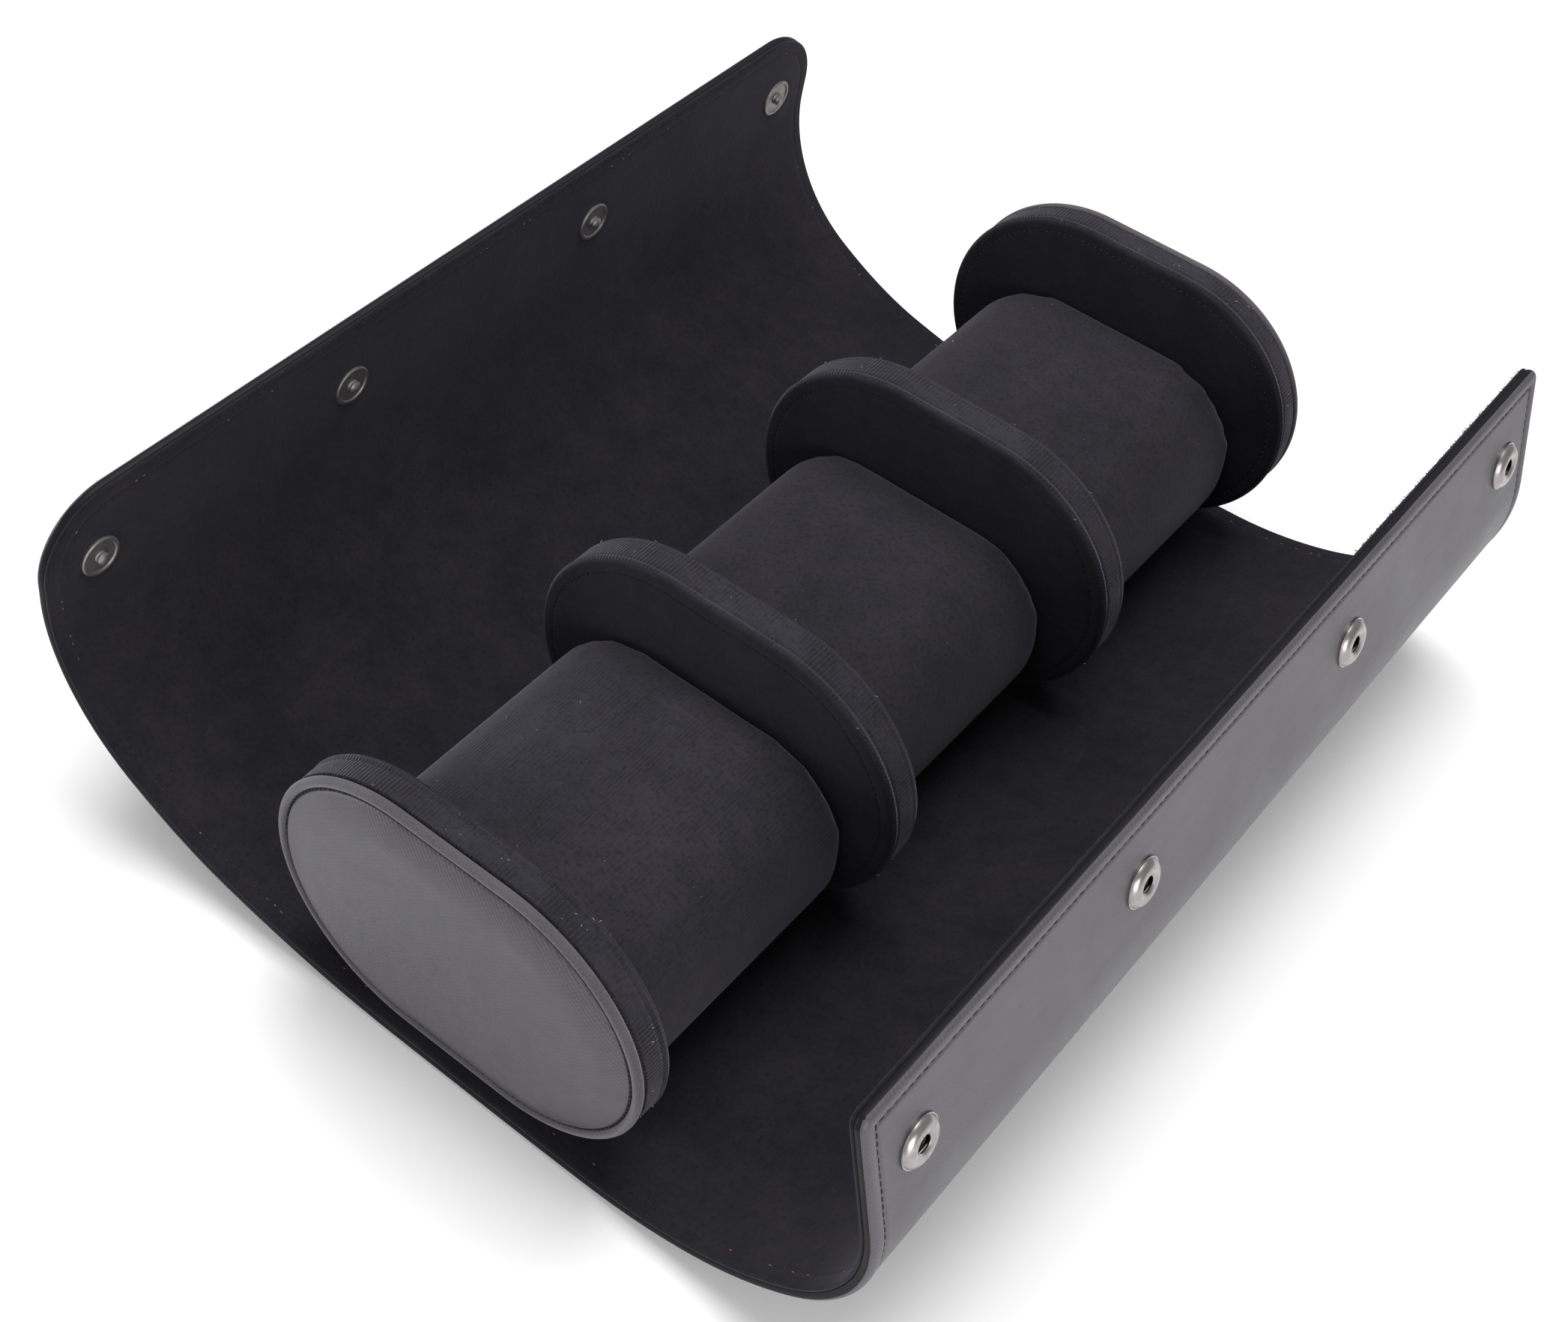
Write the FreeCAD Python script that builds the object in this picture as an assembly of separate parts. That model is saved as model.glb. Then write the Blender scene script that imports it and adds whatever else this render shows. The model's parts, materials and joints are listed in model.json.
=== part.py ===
"""Three-watch roll case: a stiffened leather wrap lined in suede, folded round four stadium discs.

Frame: +Y along the roll, +X across it towards the square right flap, +Z up.
The origin is the middle of the flat underside.  The wrap is drawn open, as it lies on a table.
Each side of the wrap is three rigid panels, hinged at the middle of the sheet's thickness.
"""

import FreeCAD, Part
import math
import os

V = FreeCAD.Vector

# ---- overall sizes (mm, degrees) ---------------------------------------------------------
ROLL_LENGTH = 280.0
DISC_RADIUS = 37.8
DISC_HALF_FLAT = 14.4
DISC_THICKNESS = 10.5
END_INSET = 3.0            # end discs sit this far inside the wrap's ends

# ---- the wrap's sheet: cover outside, board between, lining inside ------------------------
COVER_T = 1.2
BOARD_T = 1.4
LINING_T = 1.0
EDGE_LIP = 3.0             # width of the cover's turned edge, which the board stops at
PANEL_CLEARANCE = 0.3      # between neighbouring panels at the hinge line
WRAP_CLEARANCE = 0.4       # between the closed wrap and the rims of the discs
LEFT_CORNER_R = 20.0
RIGHT_CORNER_R = 3.0

# ---- slopes of the panels along their own path, open at rest and closed round the discs ----
CLOSED_SLOPES = (39.0, 78.0, 117.0)
CLOSED_TOP = 180.0
LEFT_REST_SLOPES = (8.0, 14.5, 32.0)
RIGHT_REST_SLOPES = (2.0, 18.0, 40.0)

# ---- snap fasteners -------------------------------------------------------------------------
SNAP_END_MARGIN = 15.3     # outer snaps, from the wrap's ends
SNAP_INNER_Y = 45.1        # inner snaps, from the middle
LEFT_SNAP_TO_EDGE = 19.5
RIGHT_SNAP_TO_EDGE = 20.0
SNAP_FLANGE_R = 6.0
STUD_FLANGE_R = 5.4
SNAP_FLANGE_T = 0.5
SOCKET_DOME_R = 5.7
SOCKET_H = 2.0
SOCKET_HOLE_R = 2.0
SOCKET_WALL = 0.7          # roof over the spring's groove
STUD_R = 1.7
STUD_NECK = 0.25
STUD_RIM_H = 0.8
STUD_RIM_W = 0.6
STUD_RIM_INSET = 0.3       # from the edge of the stud's flange
STUD_PROUD = 0.5           # the stud's tip stays this far off the cover under the socket
SNAP_CLEARANCE = 0.3
SPRING_WIRE_R = 0.3
SPRING_CLEARANCE = 0.1
BARREL_R = 1.9
BARREL_CLEARANCE = 0.1
CAP_H = 1.2
EYELET_R = 5.0
EYELET_H = 0.8
EYELET_CLEARANCE = 0.2     # between the closed eyelets and the rims of the discs

# ---- discs -----------------------------------------------------------------------------------
BAND_T = 1.2
FACE_T = 0.8
LEATHER_FACE_T = 1.2
EDGE_ROLL_R = 1.5

# ---- pillows ---------------------------------------------------------------------------------
PILLOW_COUNT = 3
PILLOW_WIDTH = 82.5
PILLOW_HEIGHT = 51.0
PILLOW_CORNER_R = 24.0
PILLOW_CLEARANCE = 0.3
SLEEVE_T = 1.0
PANEL_END_T = 1.0

# ---- worked out from the sizes above ------------------------------------------------------
SHEET_T = COVER_T + BOARD_T + LINING_T
HALF_SHEET = SHEET_T / 2
COVER_TOP = -HALF_SHEET + COVER_T
BOARD_TOP = COVER_TOP + BOARD_T
DISC_CENTRE_Z = SHEET_T + DISC_RADIUS
DISC_COUNT = PILLOW_COUNT + 1
DISC_PITCH = (ROLL_LENGTH - 2 * END_INSET - DISC_THICKNESS) / PILLOW_COUNT
FIRST_DISC_Y = -ROLL_LENGTH / 2 + END_INSET
COMPARTMENT = DISC_PITCH - DISC_THICKNESS
SNAP_OUTER_Y = ROLL_LENGTH / 2 - SNAP_END_MARGIN
SNAP_YS = (-SNAP_OUTER_Y, -SNAP_INNER_Y, SNAP_INNER_Y, SNAP_OUTER_Y)
SNAP_STACK = SOCKET_H + SNAP_CLEARANCE + SNAP_FLANGE_T
STUD_LENGTH = SNAP_STACK - STUD_PROUD

# Distances of the closed sheet's middle plane from the centre of the discs' round ends.
BASE_SUPPORT = DISC_RADIUS + HALF_SHEET
PANEL_SUPPORT = BASE_SUPPORT + WRAP_CLEARANCE
RIGHT_ARC_R = PANEL_SUPPORT + EYELET_H + EYELET_CLEARANCE
LEFT_ARC_R = RIGHT_ARC_R + SHEET_T + SNAP_STACK


def reach(near, far, turn):
    """Distance from the foot of one tangent line to where it meets the next, turned by turn."""
    angle = math.radians(turn)
    return (far - near * math.cos(angle)) / math.sin(angle)


def side_lengths(arc_radius, snap_to_edge):
    """Lengths along the middle plane of one side's panels, so that they close round the discs.

    The bend's centre is moved across by shift, so that its lead still touches the panels' line.
    """
    first, second, third = CLOSED_SLOPES
    shift = (arc_radius - PANEL_SUPPORT) / math.sin(math.radians(third))
    half_first = reach(BASE_SUPPORT, PANEL_SUPPORT, first)
    half_second = reach(PANEL_SUPPORT, PANEL_SUPPORT, second - first)
    half_third = reach(PANEL_SUPPORT, PANEL_SUPPORT, third - second)
    return {"root": DISC_HALF_FLAT + half_first,
            "lower": reach(PANEL_SUPPORT, BASE_SUPPORT, first) + half_second,
            "upper": half_second + half_third,
            "lead": half_third - shift * math.cos(math.radians(third)),
            "tail": DISC_HALF_FLAT - shift + snap_to_edge}


class Run:
    """A local frame in the XZ plane: u along the sheet, h towards its lining."""

    def __init__(self, side, x, z, slope):
        self.side, self.x, self.z, self.slope = side, x, z, slope
        self.ux, self.uz = math.cos(math.radians(slope)), math.sin(math.radians(slope))

    def at(self, u, h, y=0.0):
        x = self.x + u * self.ux - h * self.uz
        z = self.z + u * self.uz + h * self.ux
        return V(self.side * x, y, z)

    def inner(self):
        return V(-self.side * self.uz, 0, self.ux)

    def along(self):
        return V(self.side * self.ux, 0, self.uz)

    def next(self, length, slope):
        return Run(self.side, self.x + length * self.ux, self.z + length * self.uz, slope)


def levels(low, high):
    """Heights at which a panel's end changes direction between two faces of a layer."""
    return [low, 0.0, high] if low < 0.0 < high else [low, high]


def trim(h, bevel):
    """How far a panel's end is cut back at height h, so that it can fold up by its bevel."""
    return PANEL_CLEARANCE / 2 + max(h, 0.0) * math.tan(math.radians(bevel) / 2)


def extrude_section(edges, y_low, y_high):
    face = Part.Face(Part.Wire(edges))
    face.translate(V(0, y_low, 0))
    return face.extrude(V(0, y_high - y_low, 0))


def line(a, b):
    return Part.LineSegment(a, b).toShape()


def polygon(points):
    return [line(a, b) for a, b in zip(points, points[1:] + points[:1])]


def straight_layer(run, length, low, high, bevel_start, bevel_end, y_half):
    """One layer of a flat panel, between two heights, with both ends cut back for folding."""
    start = [run.at(trim(h, bevel_start), h) for h in levels(low, high)]
    end = [run.at(length - trim(h, bevel_end), h) for h in reversed(levels(low, high))]
    return extrude_section(polygon(start + end), -y_half, y_half)


def flap_layer(flap, low, high, tip_inset, y_half):
    """One layer of a flap: a straight lead from the hinge, a bend, and a straight tail."""
    lead, arc, tail = flap["lead"], flap["arc"], flap["tail"]
    lead_length, tail_length = flap["lead_length"], flap["tail_length"] - tip_inset
    radius = flap["radius"]
    half_turn = (tail.slope - lead.slope) / 2

    def middle(h):
        mid = Run(arc.side, *centre_of(flap), arc.slope + half_turn)
        return V(mid.side * (mid.x + (radius - h) * mid.uz), 0, mid.z - (radius - h) * mid.ux)

    start = [lead.at(trim(h, flap["bevel"]), h) for h in levels(low, high)]
    edges = [line(a, b) for a, b in zip(start, start[1:])]
    edges.append(line(start[-1], lead.at(lead_length, high)))
    edges.append(Part.Arc(lead.at(lead_length, high), middle(high), tail.at(0, high)).toShape())
    edges.append(line(tail.at(0, high), tail.at(tail_length, high)))
    edges.append(line(tail.at(tail_length, high), tail.at(tail_length, low)))
    edges.append(line(tail.at(tail_length, low), tail.at(0, low)))
    edges.append(Part.Arc(tail.at(0, low), middle(low), lead.at(lead_length, low)).toShape())
    edges.append(line(lead.at(lead_length, low), start[0]))
    return extrude_section(edges, -y_half, y_half)


def centre_of(flap):
    """Centre of the flap's bend, in the run's own unmirrored x and z."""
    arc, radius = flap["arc"], flap["radius"]
    return arc.x - radius * arc.uz, arc.z + radius * arc.ux


def make_flap(start, slopes, lengths, radius):
    """Frames of a flap at rest: its lead from the hinge, where its bend starts, and its tail."""
    turn = CLOSED_TOP - CLOSED_SLOPES[2]
    lead = Run(start.side, start.x, start.z, slopes[2])
    arc = lead.next(lengths["lead"], slopes[2])
    end_slope = slopes[2] + turn
    flap = {"lead": lead, "arc": arc, "radius": radius, "bevel": CLOSED_SLOPES[2] - CLOSED_SLOPES[1],
            "lead_length": lengths["lead"], "tail_length": lengths["tail"]}
    cx, cz = centre_of(flap)
    angle = math.radians(end_slope)
    flap["tail"] = Run(start.side, cx + radius * math.sin(angle), cz - radius * math.cos(angle), end_slope)
    return flap


def corner_cutters(run, length, y_half, radius):
    """Two blocks that round the free corners of a tail: a square less its quarter circle."""
    depth = 4 * SHEET_T
    cutters = []
    for sign in (-1, 1):
        block = Part.makeBox(2 * radius, 2 * radius, depth, V(0, 0, -depth / 2))
        block = block.cut(Part.makeCylinder(radius, depth, V(0, 0, -depth / 2)))
        block = block.common(Part.makeBox(2 * radius, 2 * radius, depth, V(0, 0, -depth / 2)))
        along, across = run.along(), V(0, sign, 0)
        normal = along.cross(across)
        matrix = FreeCAD.Matrix(along.x, across.x, normal.x, 0,
                                along.y, across.y, normal.y, 0,
                                along.z, across.z, normal.z, 0,
                                0, 0, 0, 1)
        block = block.transformGeometry(matrix)
        block.translate(run.at(length - radius, 0, sign * (y_half - radius)))
        cutters.append(block)
    return cutters


def set_on(shape, point, direction):
    """A shape drawn up the Z axis, moved to a point and turned to a direction."""
    moved = shape.copy()
    moved.Placement = FreeCAD.Placement(point, FreeCAD.Rotation(V(0, 0, 1), direction))
    return moved


def panel_nodes(name, run, length, bevels, parts):
    """Cover, board and lining of one flat hinged panel."""
    y_half = ROLL_LENGTH / 2
    board = straight_layer(run, length, COVER_TOP, BOARD_TOP, *bevels, y_half - EDGE_LIP)
    cover = straight_layer(run, length, -HALF_SHEET, BOARD_TOP, *bevels, y_half).cut(board)
    parts[name + "_cover"] = cover
    parts[name + "_board"] = board
    parts[name + "_lining"] = straight_layer(run, length, BOARD_TOP, HALF_SHEET, *bevels, y_half)


def flap_nodes(name, flap, corner_radius, snap_to_edge, parts):
    """Cover, board and lining of one flap, with rounded corners and holes for the snaps."""
    y_half = ROLL_LENGTH / 2
    board_corner = max(corner_radius - EDGE_LIP, 1.0)
    tail, length = flap["tail"], flap["tail_length"]
    board = flap_layer(flap, COVER_TOP, BOARD_TOP, EDGE_LIP, y_half - EDGE_LIP)
    board = board.cut(corner_cutters(tail, length - EDGE_LIP, y_half - EDGE_LIP, board_corner))
    outer = corner_cutters(tail, length, y_half, corner_radius)
    cover = flap_layer(flap, -HALF_SHEET, BOARD_TOP, 0.0, y_half).cut(outer).cut(board)
    lining = flap_layer(flap, BOARD_TOP, HALF_SHEET, 0.0, y_half).cut(outer)
    drill = Part.makeCylinder(BARREL_R + BARREL_CLEARANCE, 2 * SHEET_T, V(0, 0, -SHEET_T))
    holes = [set_on(drill, tail.at(length - snap_to_edge, 0, y), tail.inner()) for y in SNAP_YS]
    parts[name + "_cover"] = cover.cut(holes)
    parts[name + "_board"] = board.cut(holes)
    parts[name + "_lining"] = lining.cut(holes)


def base_nodes(root_length, parts):
    """Cover, board and lining of the flat base, drawn as one panel from hinge to hinge."""
    run = Run(1, -root_length, HALF_SHEET, 0.0)
    bevels = (CLOSED_SLOPES[0], CLOSED_SLOPES[0])
    panel_nodes("base", run, 2 * root_length, bevels, parts)


def revolve_profile(edges):
    return Part.Face(Part.Wire(edges)).revolve(V(0, 0, 0), V(0, 0, 1), 360)


def dome_arc(radius, z_rim, height):
    """Arc from a rim to the axis, of a sphere whose centre lies on the axis."""
    sphere_r = (radius ** 2 + height ** 2) / (2 * height)
    half = math.asin(radius / sphere_r) / 2
    middle = V(sphere_r * math.sin(half), 0, z_rim + height - sphere_r * (1 - math.cos(half)))
    return Part.Arc(V(radius, 0, z_rim), middle, V(0, 0, z_rim + height)).toShape()


def snap_socket():
    """Flanged ring with a rolled dome and a groove inside for the spring."""
    groove_low, groove_high = SNAP_FLANGE_T, SOCKET_H - SOCKET_WALL
    groove_r = SOCKET_DOME_R - SOCKET_WALL - SPRING_CLEARANCE
    crest = V((SOCKET_DOME_R + SOCKET_HOLE_R) / 2, 0, SOCKET_H)
    lip = V(SOCKET_HOLE_R, 0, SOCKET_H - SNAP_FLANGE_T)
    shoulder = V(SOCKET_DOME_R, 0, SNAP_FLANGE_T)
    outline = [lip, V(SOCKET_HOLE_R, 0, groove_high), V(groove_r, 0, groove_high),
               V(groove_r, 0, groove_low), V(SOCKET_HOLE_R, 0, groove_low), V(SOCKET_HOLE_R, 0, 0),
               V(SNAP_FLANGE_R, 0, 0), V(SNAP_FLANGE_R, 0, SNAP_FLANGE_T), shoulder]
    edges = [line(a, b) for a, b in zip(outline, outline[1:])]
    edges.append(Part.Arc(shoulder, crest, lip).toShape())
    return revolve_profile(edges)


def snap_spring():
    """Wire hairpin in the socket's groove, with a leg on each side of the stud."""
    leg_x = STUD_R + SPRING_CLEARANCE + SPRING_WIRE_R
    height = (SNAP_FLANGE_T + SOCKET_H - SOCKET_WALL) / 2
    bend_y = SOCKET_DOME_R - SOCKET_WALL - 2 * SPRING_CLEARANCE - SPRING_WIRE_R - leg_x
    leg_length = 2 * leg_x
    section = Part.Face(Part.Wire(Part.makeCircle(SPRING_WIRE_R, V(leg_x, bend_y, height), V(0, 1, 0))))
    bend = section.revolve(V(0, bend_y, height), V(0, 0, 1), 180)
    spring = bend
    for x in (-leg_x, leg_x):
        leg = Part.makeCylinder(SPRING_WIRE_R, leg_length, V(x, bend_y, height), V(0, -1, 0))
        spring = spring.fuse(leg)
    return spring.removeSplitter()


def snap_stud():
    """Flange with a raised rim, and a post with a necked round head."""
    rim_out = STUD_FLANGE_R - STUD_RIM_INSET
    rim_in = rim_out - STUD_RIM_W
    neck_r = STUD_R - STUD_NECK
    head = STUD_LENGTH - STUD_R / 2
    outline = [V(0, 0, 0), V(STUD_FLANGE_R, 0, 0), V(STUD_FLANGE_R, 0, SNAP_FLANGE_T),
               V(rim_out, 0, STUD_RIM_H), V(rim_in, 0, STUD_RIM_H),
               V(rim_in - STUD_RIM_INSET, 0, SNAP_FLANGE_T),
               V(STUD_R, 0, SNAP_FLANGE_T), V(neck_r, 0, STUD_RIM_H), V(neck_r, 0, head - STUD_NECK),
               V(STUD_R, 0, head)]
    edges = [line(a, b) for a, b in zip(outline, outline[1:])]
    edges.append(dome_arc(STUD_R, head, STUD_LENGTH - head))
    edges.append(line(V(0, 0, STUD_LENGTH), V(0, 0, 0)))
    return revolve_profile(edges)


def domed_cap(radius, height):
    """Low dome with a barrel that reaches back through the sheet."""
    rim = height / 3
    edges = [line(V(0, 0, -SHEET_T), V(BARREL_R, 0, -SHEET_T)), line(V(BARREL_R, 0, -SHEET_T), V(BARREL_R, 0, 0)),
             line(V(BARREL_R, 0, 0), V(radius, 0, 0)), line(V(radius, 0, 0), V(radius, 0, rim)),
             dome_arc(radius, rim, height - rim), line(V(0, 0, height), V(0, 0, -SHEET_T))]
    return revolve_profile(edges)


def snap_nodes(left, right, parts):
    """The four snaps: studs and caps on the left flap, sockets, springs and eyelets on the right."""
    def row(shape, flap, snap_to_edge, inward):
        tail = flap["tail"]
        u = flap["tail_length"] - snap_to_edge
        direction = tail.inner() if inward else tail.inner().negative()
        h = HALF_SHEET if inward else -HALF_SHEET
        return Part.makeCompound([set_on(shape, tail.at(u, h, y), direction) for y in SNAP_YS])

    parts["snap_studs"] = row(snap_stud(), left, LEFT_SNAP_TO_EDGE, True)
    parts["snap_stud_caps"] = row(domed_cap(SNAP_FLANGE_R, CAP_H), left, LEFT_SNAP_TO_EDGE, False)
    parts["snap_sockets"] = row(snap_socket(), right, RIGHT_SNAP_TO_EDGE, False)
    parts["snap_springs"] = row(snap_spring(), right, RIGHT_SNAP_TO_EDGE, False)
    parts["snap_socket_eyelets"] = row(domed_cap(EYELET_R, EYELET_H), right, RIGHT_SNAP_TO_EDGE, True)


def stadium(radius, y_low, y_high):
    """Upright slab with round ends, centred on the discs' axis."""
    f, z = DISC_HALF_FLAT, DISC_CENTRE_Z
    top_left, top_right = V(-f, 0, z + radius), V(f, 0, z + radius)
    low_left, low_right = V(-f, 0, z - radius), V(f, 0, z - radius)
    edges = [line(low_left, low_right), Part.Arc(low_right, V(f + radius, 0, z), top_right).toShape(),
             line(top_right, top_left), Part.Arc(top_left, V(-f - radius, 0, z), low_left).toShape()]
    return extrude_section(edges, y_low, y_high)


def edge_roll(y):
    """Round cord of leather that runs all round an end disc's outer edge."""
    f, z = DISC_HALF_FLAT, DISC_CENTRE_Z
    radius = DISC_RADIUS - EDGE_ROLL_R
    roll = None
    for side in (-1, 1):
        centre = V(side * f, y, z)
        section = Part.Face(Part.Wire(Part.makeCircle(EDGE_ROLL_R, V(side * f, y, z - radius), V(1, 0, 0))))
        bend = section.revolve(centre, V(0, -side, 0), 180)
        bar = Part.makeCylinder(EDGE_ROLL_R, 2 * f, V(-f, y, z + side * radius), V(1, 0, 0))
        roll = bend.fuse(bar) if roll is None else roll.fuse(bend).fuse(bar)
    return roll.removeSplitter()


def end_disc_nodes(name, y_outer, inward, parts):
    """End disc: leather face over a foam pad, edge roll, board, rim band and suede inner face."""
    def slab(radius, near, far):
        low, high = sorted((y_outer + inward * near, y_outer + inward * far))
        return stadium(radius, low, high)

    core_r = DISC_RADIUS - BAND_T
    face_r = DISC_RADIUS - 2 * EDGE_ROLL_R
    pad_start = LEATHER_FACE_T
    board_start = 2 * EDGE_ROLL_R
    board_end = DISC_THICKNESS - FACE_T
    parts[name + "_leather_face"] = slab(face_r, 0.0, pad_start)
    parts[name + "_pad"] = slab(face_r, pad_start, board_start)
    parts[name + "_edge_roll"] = edge_roll(y_outer + inward * EDGE_ROLL_R)
    parts[name + "_board"] = slab(core_r, board_start, board_end)
    parts[name + "_inner_face"] = slab(core_r, board_end, DISC_THICKNESS)
    rim = slab(DISC_RADIUS, board_start, DISC_THICKNESS)
    parts[name + "_rim_band"] = rim.cut(slab(core_r, board_start, DISC_THICKNESS))


def divider_nodes(name, y_low, parts):
    """Divider disc: board between two suede faces, inside a rim band."""
    core_r = DISC_RADIUS - BAND_T
    y_high = y_low + DISC_THICKNESS
    parts[name + "_board"] = stadium(core_r, y_low + FACE_T, y_high - FACE_T)
    faces = [stadium(core_r, y_low, y_low + FACE_T), stadium(core_r, y_high - FACE_T, y_high)]
    parts[name + "_faces"] = Part.makeCompound(faces)
    parts[name + "_rim_band"] = stadium(DISC_RADIUS, y_low, y_high).cut(stadium(core_r, y_low, y_high))


def rounded_bar(width, height, corner, z_middle, y_low, y_high):
    """Bar along Y with a rounded rectangle for its section."""
    x, z = width / 2, height / 2
    bend = corner * (1 - math.sqrt(0.5))
    edges = []
    for sx, sz in ((1, -1), (1, 1), (-1, 1), (-1, -1)):
        upright, level = V(sx * x, 0, z_middle + sz * (z - corner)), V(sx * (x - corner), 0, z_middle + sz * z)
        middle = V(sx * (x - bend), 0, z_middle + sz * (z - bend))
        first, last = (level, upright) if sx * sz < 0 else (upright, level)
        edges.append((first, middle, last))
    wire = []
    for (first, middle, last), following in zip(edges, edges[1:] + edges[:1]):
        wire.append(Part.Arc(first, middle, last).toShape())
        if last.distanceToPoint(following[0]) > 1e-6:
            wire.append(line(last, following[0]))
    return extrude_section(wire, y_low, y_high)


def pillow_nodes(name, y_low, parts):
    """Pillow: foam core in a suede sleeve, closed by a panel at each end."""
    low, high = y_low + PILLOW_CLEARANCE, y_low + COMPARTMENT - PILLOW_CLEARANCE
    z_middle = SHEET_T + PILLOW_CLEARANCE + PILLOW_HEIGHT / 2
    size = (PILLOW_WIDTH, PILLOW_HEIGHT, PILLOW_CORNER_R)
    inside = tuple(value - shrink for value, shrink in zip(size, (2 * SLEEVE_T, 2 * SLEEVE_T, SLEEVE_T)))
    core_low, core_high = low + PANEL_END_T, high - PANEL_END_T
    core = rounded_bar(*inside, z_middle, core_low, core_high)
    parts[name + "_core"] = core
    parts[name + "_sleeve"] = rounded_bar(*size, z_middle, core_low, core_high).cut(core)
    parts[name + "_end_panels"] = Part.makeCompound([rounded_bar(*size, z_middle, low, core_low),
                                                     rounded_bar(*size, z_middle, core_high, high)])


def build():
    """Every node of the case, by name."""
    parts = {}
    flaps = {}
    sides = (("left", -1, LEFT_REST_SLOPES, LEFT_ARC_R, LEFT_SNAP_TO_EDGE, LEFT_CORNER_R),
             ("right", 1, RIGHT_REST_SLOPES, RIGHT_ARC_R, RIGHT_SNAP_TO_EDGE, RIGHT_CORNER_R))
    for name, side, slopes, radius, snap_to_edge, corner in sides:
        size = side_lengths(radius, snap_to_edge)
        bevels = (CLOSED_SLOPES[0], CLOSED_SLOPES[1] - CLOSED_SLOPES[0], CLOSED_SLOPES[2] - CLOSED_SLOPES[1])
        lower = Run(side, size["root"], HALF_SHEET, slopes[0])
        upper = lower.next(size["lower"], slopes[1])
        panel_nodes(name + "_lower", lower, size["lower"], bevels[:2], parts)
        panel_nodes(name + "_upper", upper, size["upper"], bevels[1:], parts)
        flap = make_flap(upper.next(size["upper"], slopes[2]), slopes, size, radius)
        flap_nodes(name + "_flap", flap, corner, snap_to_edge, parts)
        flaps[name], root_length = flap, size["root"]
        for hinge, run in (("lower", lower), ("upper", upper), ("flap", flap["lead"])):
            print("hinge", name, hinge, "x %.3f z %.3f" % (side * run.x, run.z))
    base_nodes(root_length, parts)
    snap_nodes(flaps["left"], flaps["right"], parts)
    last_disc = FIRST_DISC_Y + PILLOW_COUNT * DISC_PITCH + DISC_THICKNESS
    end_disc_nodes("front_disc", FIRST_DISC_Y, 1, parts)
    end_disc_nodes("rear_disc", last_disc, -1, parts)
    for number in range(1, DISC_COUNT - 1):
        divider_nodes("divider_%d" % number, FIRST_DISC_Y + number * DISC_PITCH, parts)
    for number in range(PILLOW_COUNT):
        y_low = FIRST_DISC_Y + number * DISC_PITCH + DISC_THICKNESS
        pillow_nodes("pillow_%d" % (number + 1), y_low, parts)
    return parts


def main():
    os.makedirs("parts", exist_ok=True)
    for name, shape in build().items():
        if not shape.isValid():
            raise ValueError("not a valid shape: " + name)
        print(name, len(shape.Solids), "%.1f" % shape.Volume)
        shape.exportStep("parts/%s.step" % name)


main()
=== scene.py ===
import json
import math

import bmesh
import bpy
import numpy as np
from mathutils import Matrix, Vector


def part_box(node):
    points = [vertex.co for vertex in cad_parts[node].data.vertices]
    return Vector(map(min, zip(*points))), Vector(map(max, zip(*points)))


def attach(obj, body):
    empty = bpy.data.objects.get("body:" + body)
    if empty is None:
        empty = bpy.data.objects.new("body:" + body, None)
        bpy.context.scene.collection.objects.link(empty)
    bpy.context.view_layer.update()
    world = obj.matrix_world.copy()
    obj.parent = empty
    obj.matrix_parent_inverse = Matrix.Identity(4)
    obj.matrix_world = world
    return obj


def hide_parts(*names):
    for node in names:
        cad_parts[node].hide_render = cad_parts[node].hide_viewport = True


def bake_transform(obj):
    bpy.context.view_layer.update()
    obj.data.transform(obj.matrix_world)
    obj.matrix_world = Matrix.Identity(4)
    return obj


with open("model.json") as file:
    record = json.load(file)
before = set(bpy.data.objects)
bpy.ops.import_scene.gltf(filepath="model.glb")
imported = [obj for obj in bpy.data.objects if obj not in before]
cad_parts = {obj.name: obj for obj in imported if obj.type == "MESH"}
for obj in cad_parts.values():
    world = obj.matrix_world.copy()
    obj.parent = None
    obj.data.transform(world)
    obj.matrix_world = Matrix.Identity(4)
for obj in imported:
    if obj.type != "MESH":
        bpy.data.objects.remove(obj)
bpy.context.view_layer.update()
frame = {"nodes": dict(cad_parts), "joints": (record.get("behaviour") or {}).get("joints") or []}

bl_info = {
    "name": "Travel roll for three watches",
    "version": (1, 0, 0),
    "blender": (4, 5, 0),
    "location": "3D View > Sidebar > Travel Roll",
    "description": "Models the leather wrap, discs, pillows and snaps of an open watch roll round its CAD "
                   "frame",
    "category": "Add Mesh",
}

MM = 0.001
SIDES = {"left": -1, "right": 1}
DISCS = ("front_disc", "divider_1", "divider_2", "rear_disc")
PILLOWS = {  # how far each pillow sits across, and how far its side and its top stand beyond its drawing
    "pillow_1": (0.0, 0.8 * MM, 1.6 * MM),
    "pillow_2": (-2.0 * MM, -0.6 * MM, 0.0),
    "pillow_3": (0.0, 0.2 * MM, 2.2 * MM),
}
CUT = "cut"  # the UV map that holds each point's place on the flat cut, in metres


# ---- sizes worked out from the frame -----------------------------------------------------------


def joint_point(name):
    """A hinge's place in the XZ plane, which is on the middle plane of the wrap."""
    joint = next(j for j in frame["joints"] if j["name"] == name)
    return np.array([abs(joint["pos_m"][0]), joint["pos_m"][2]])


def box(name):
    low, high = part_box(name)
    return np.array(low), np.array(high)


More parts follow.
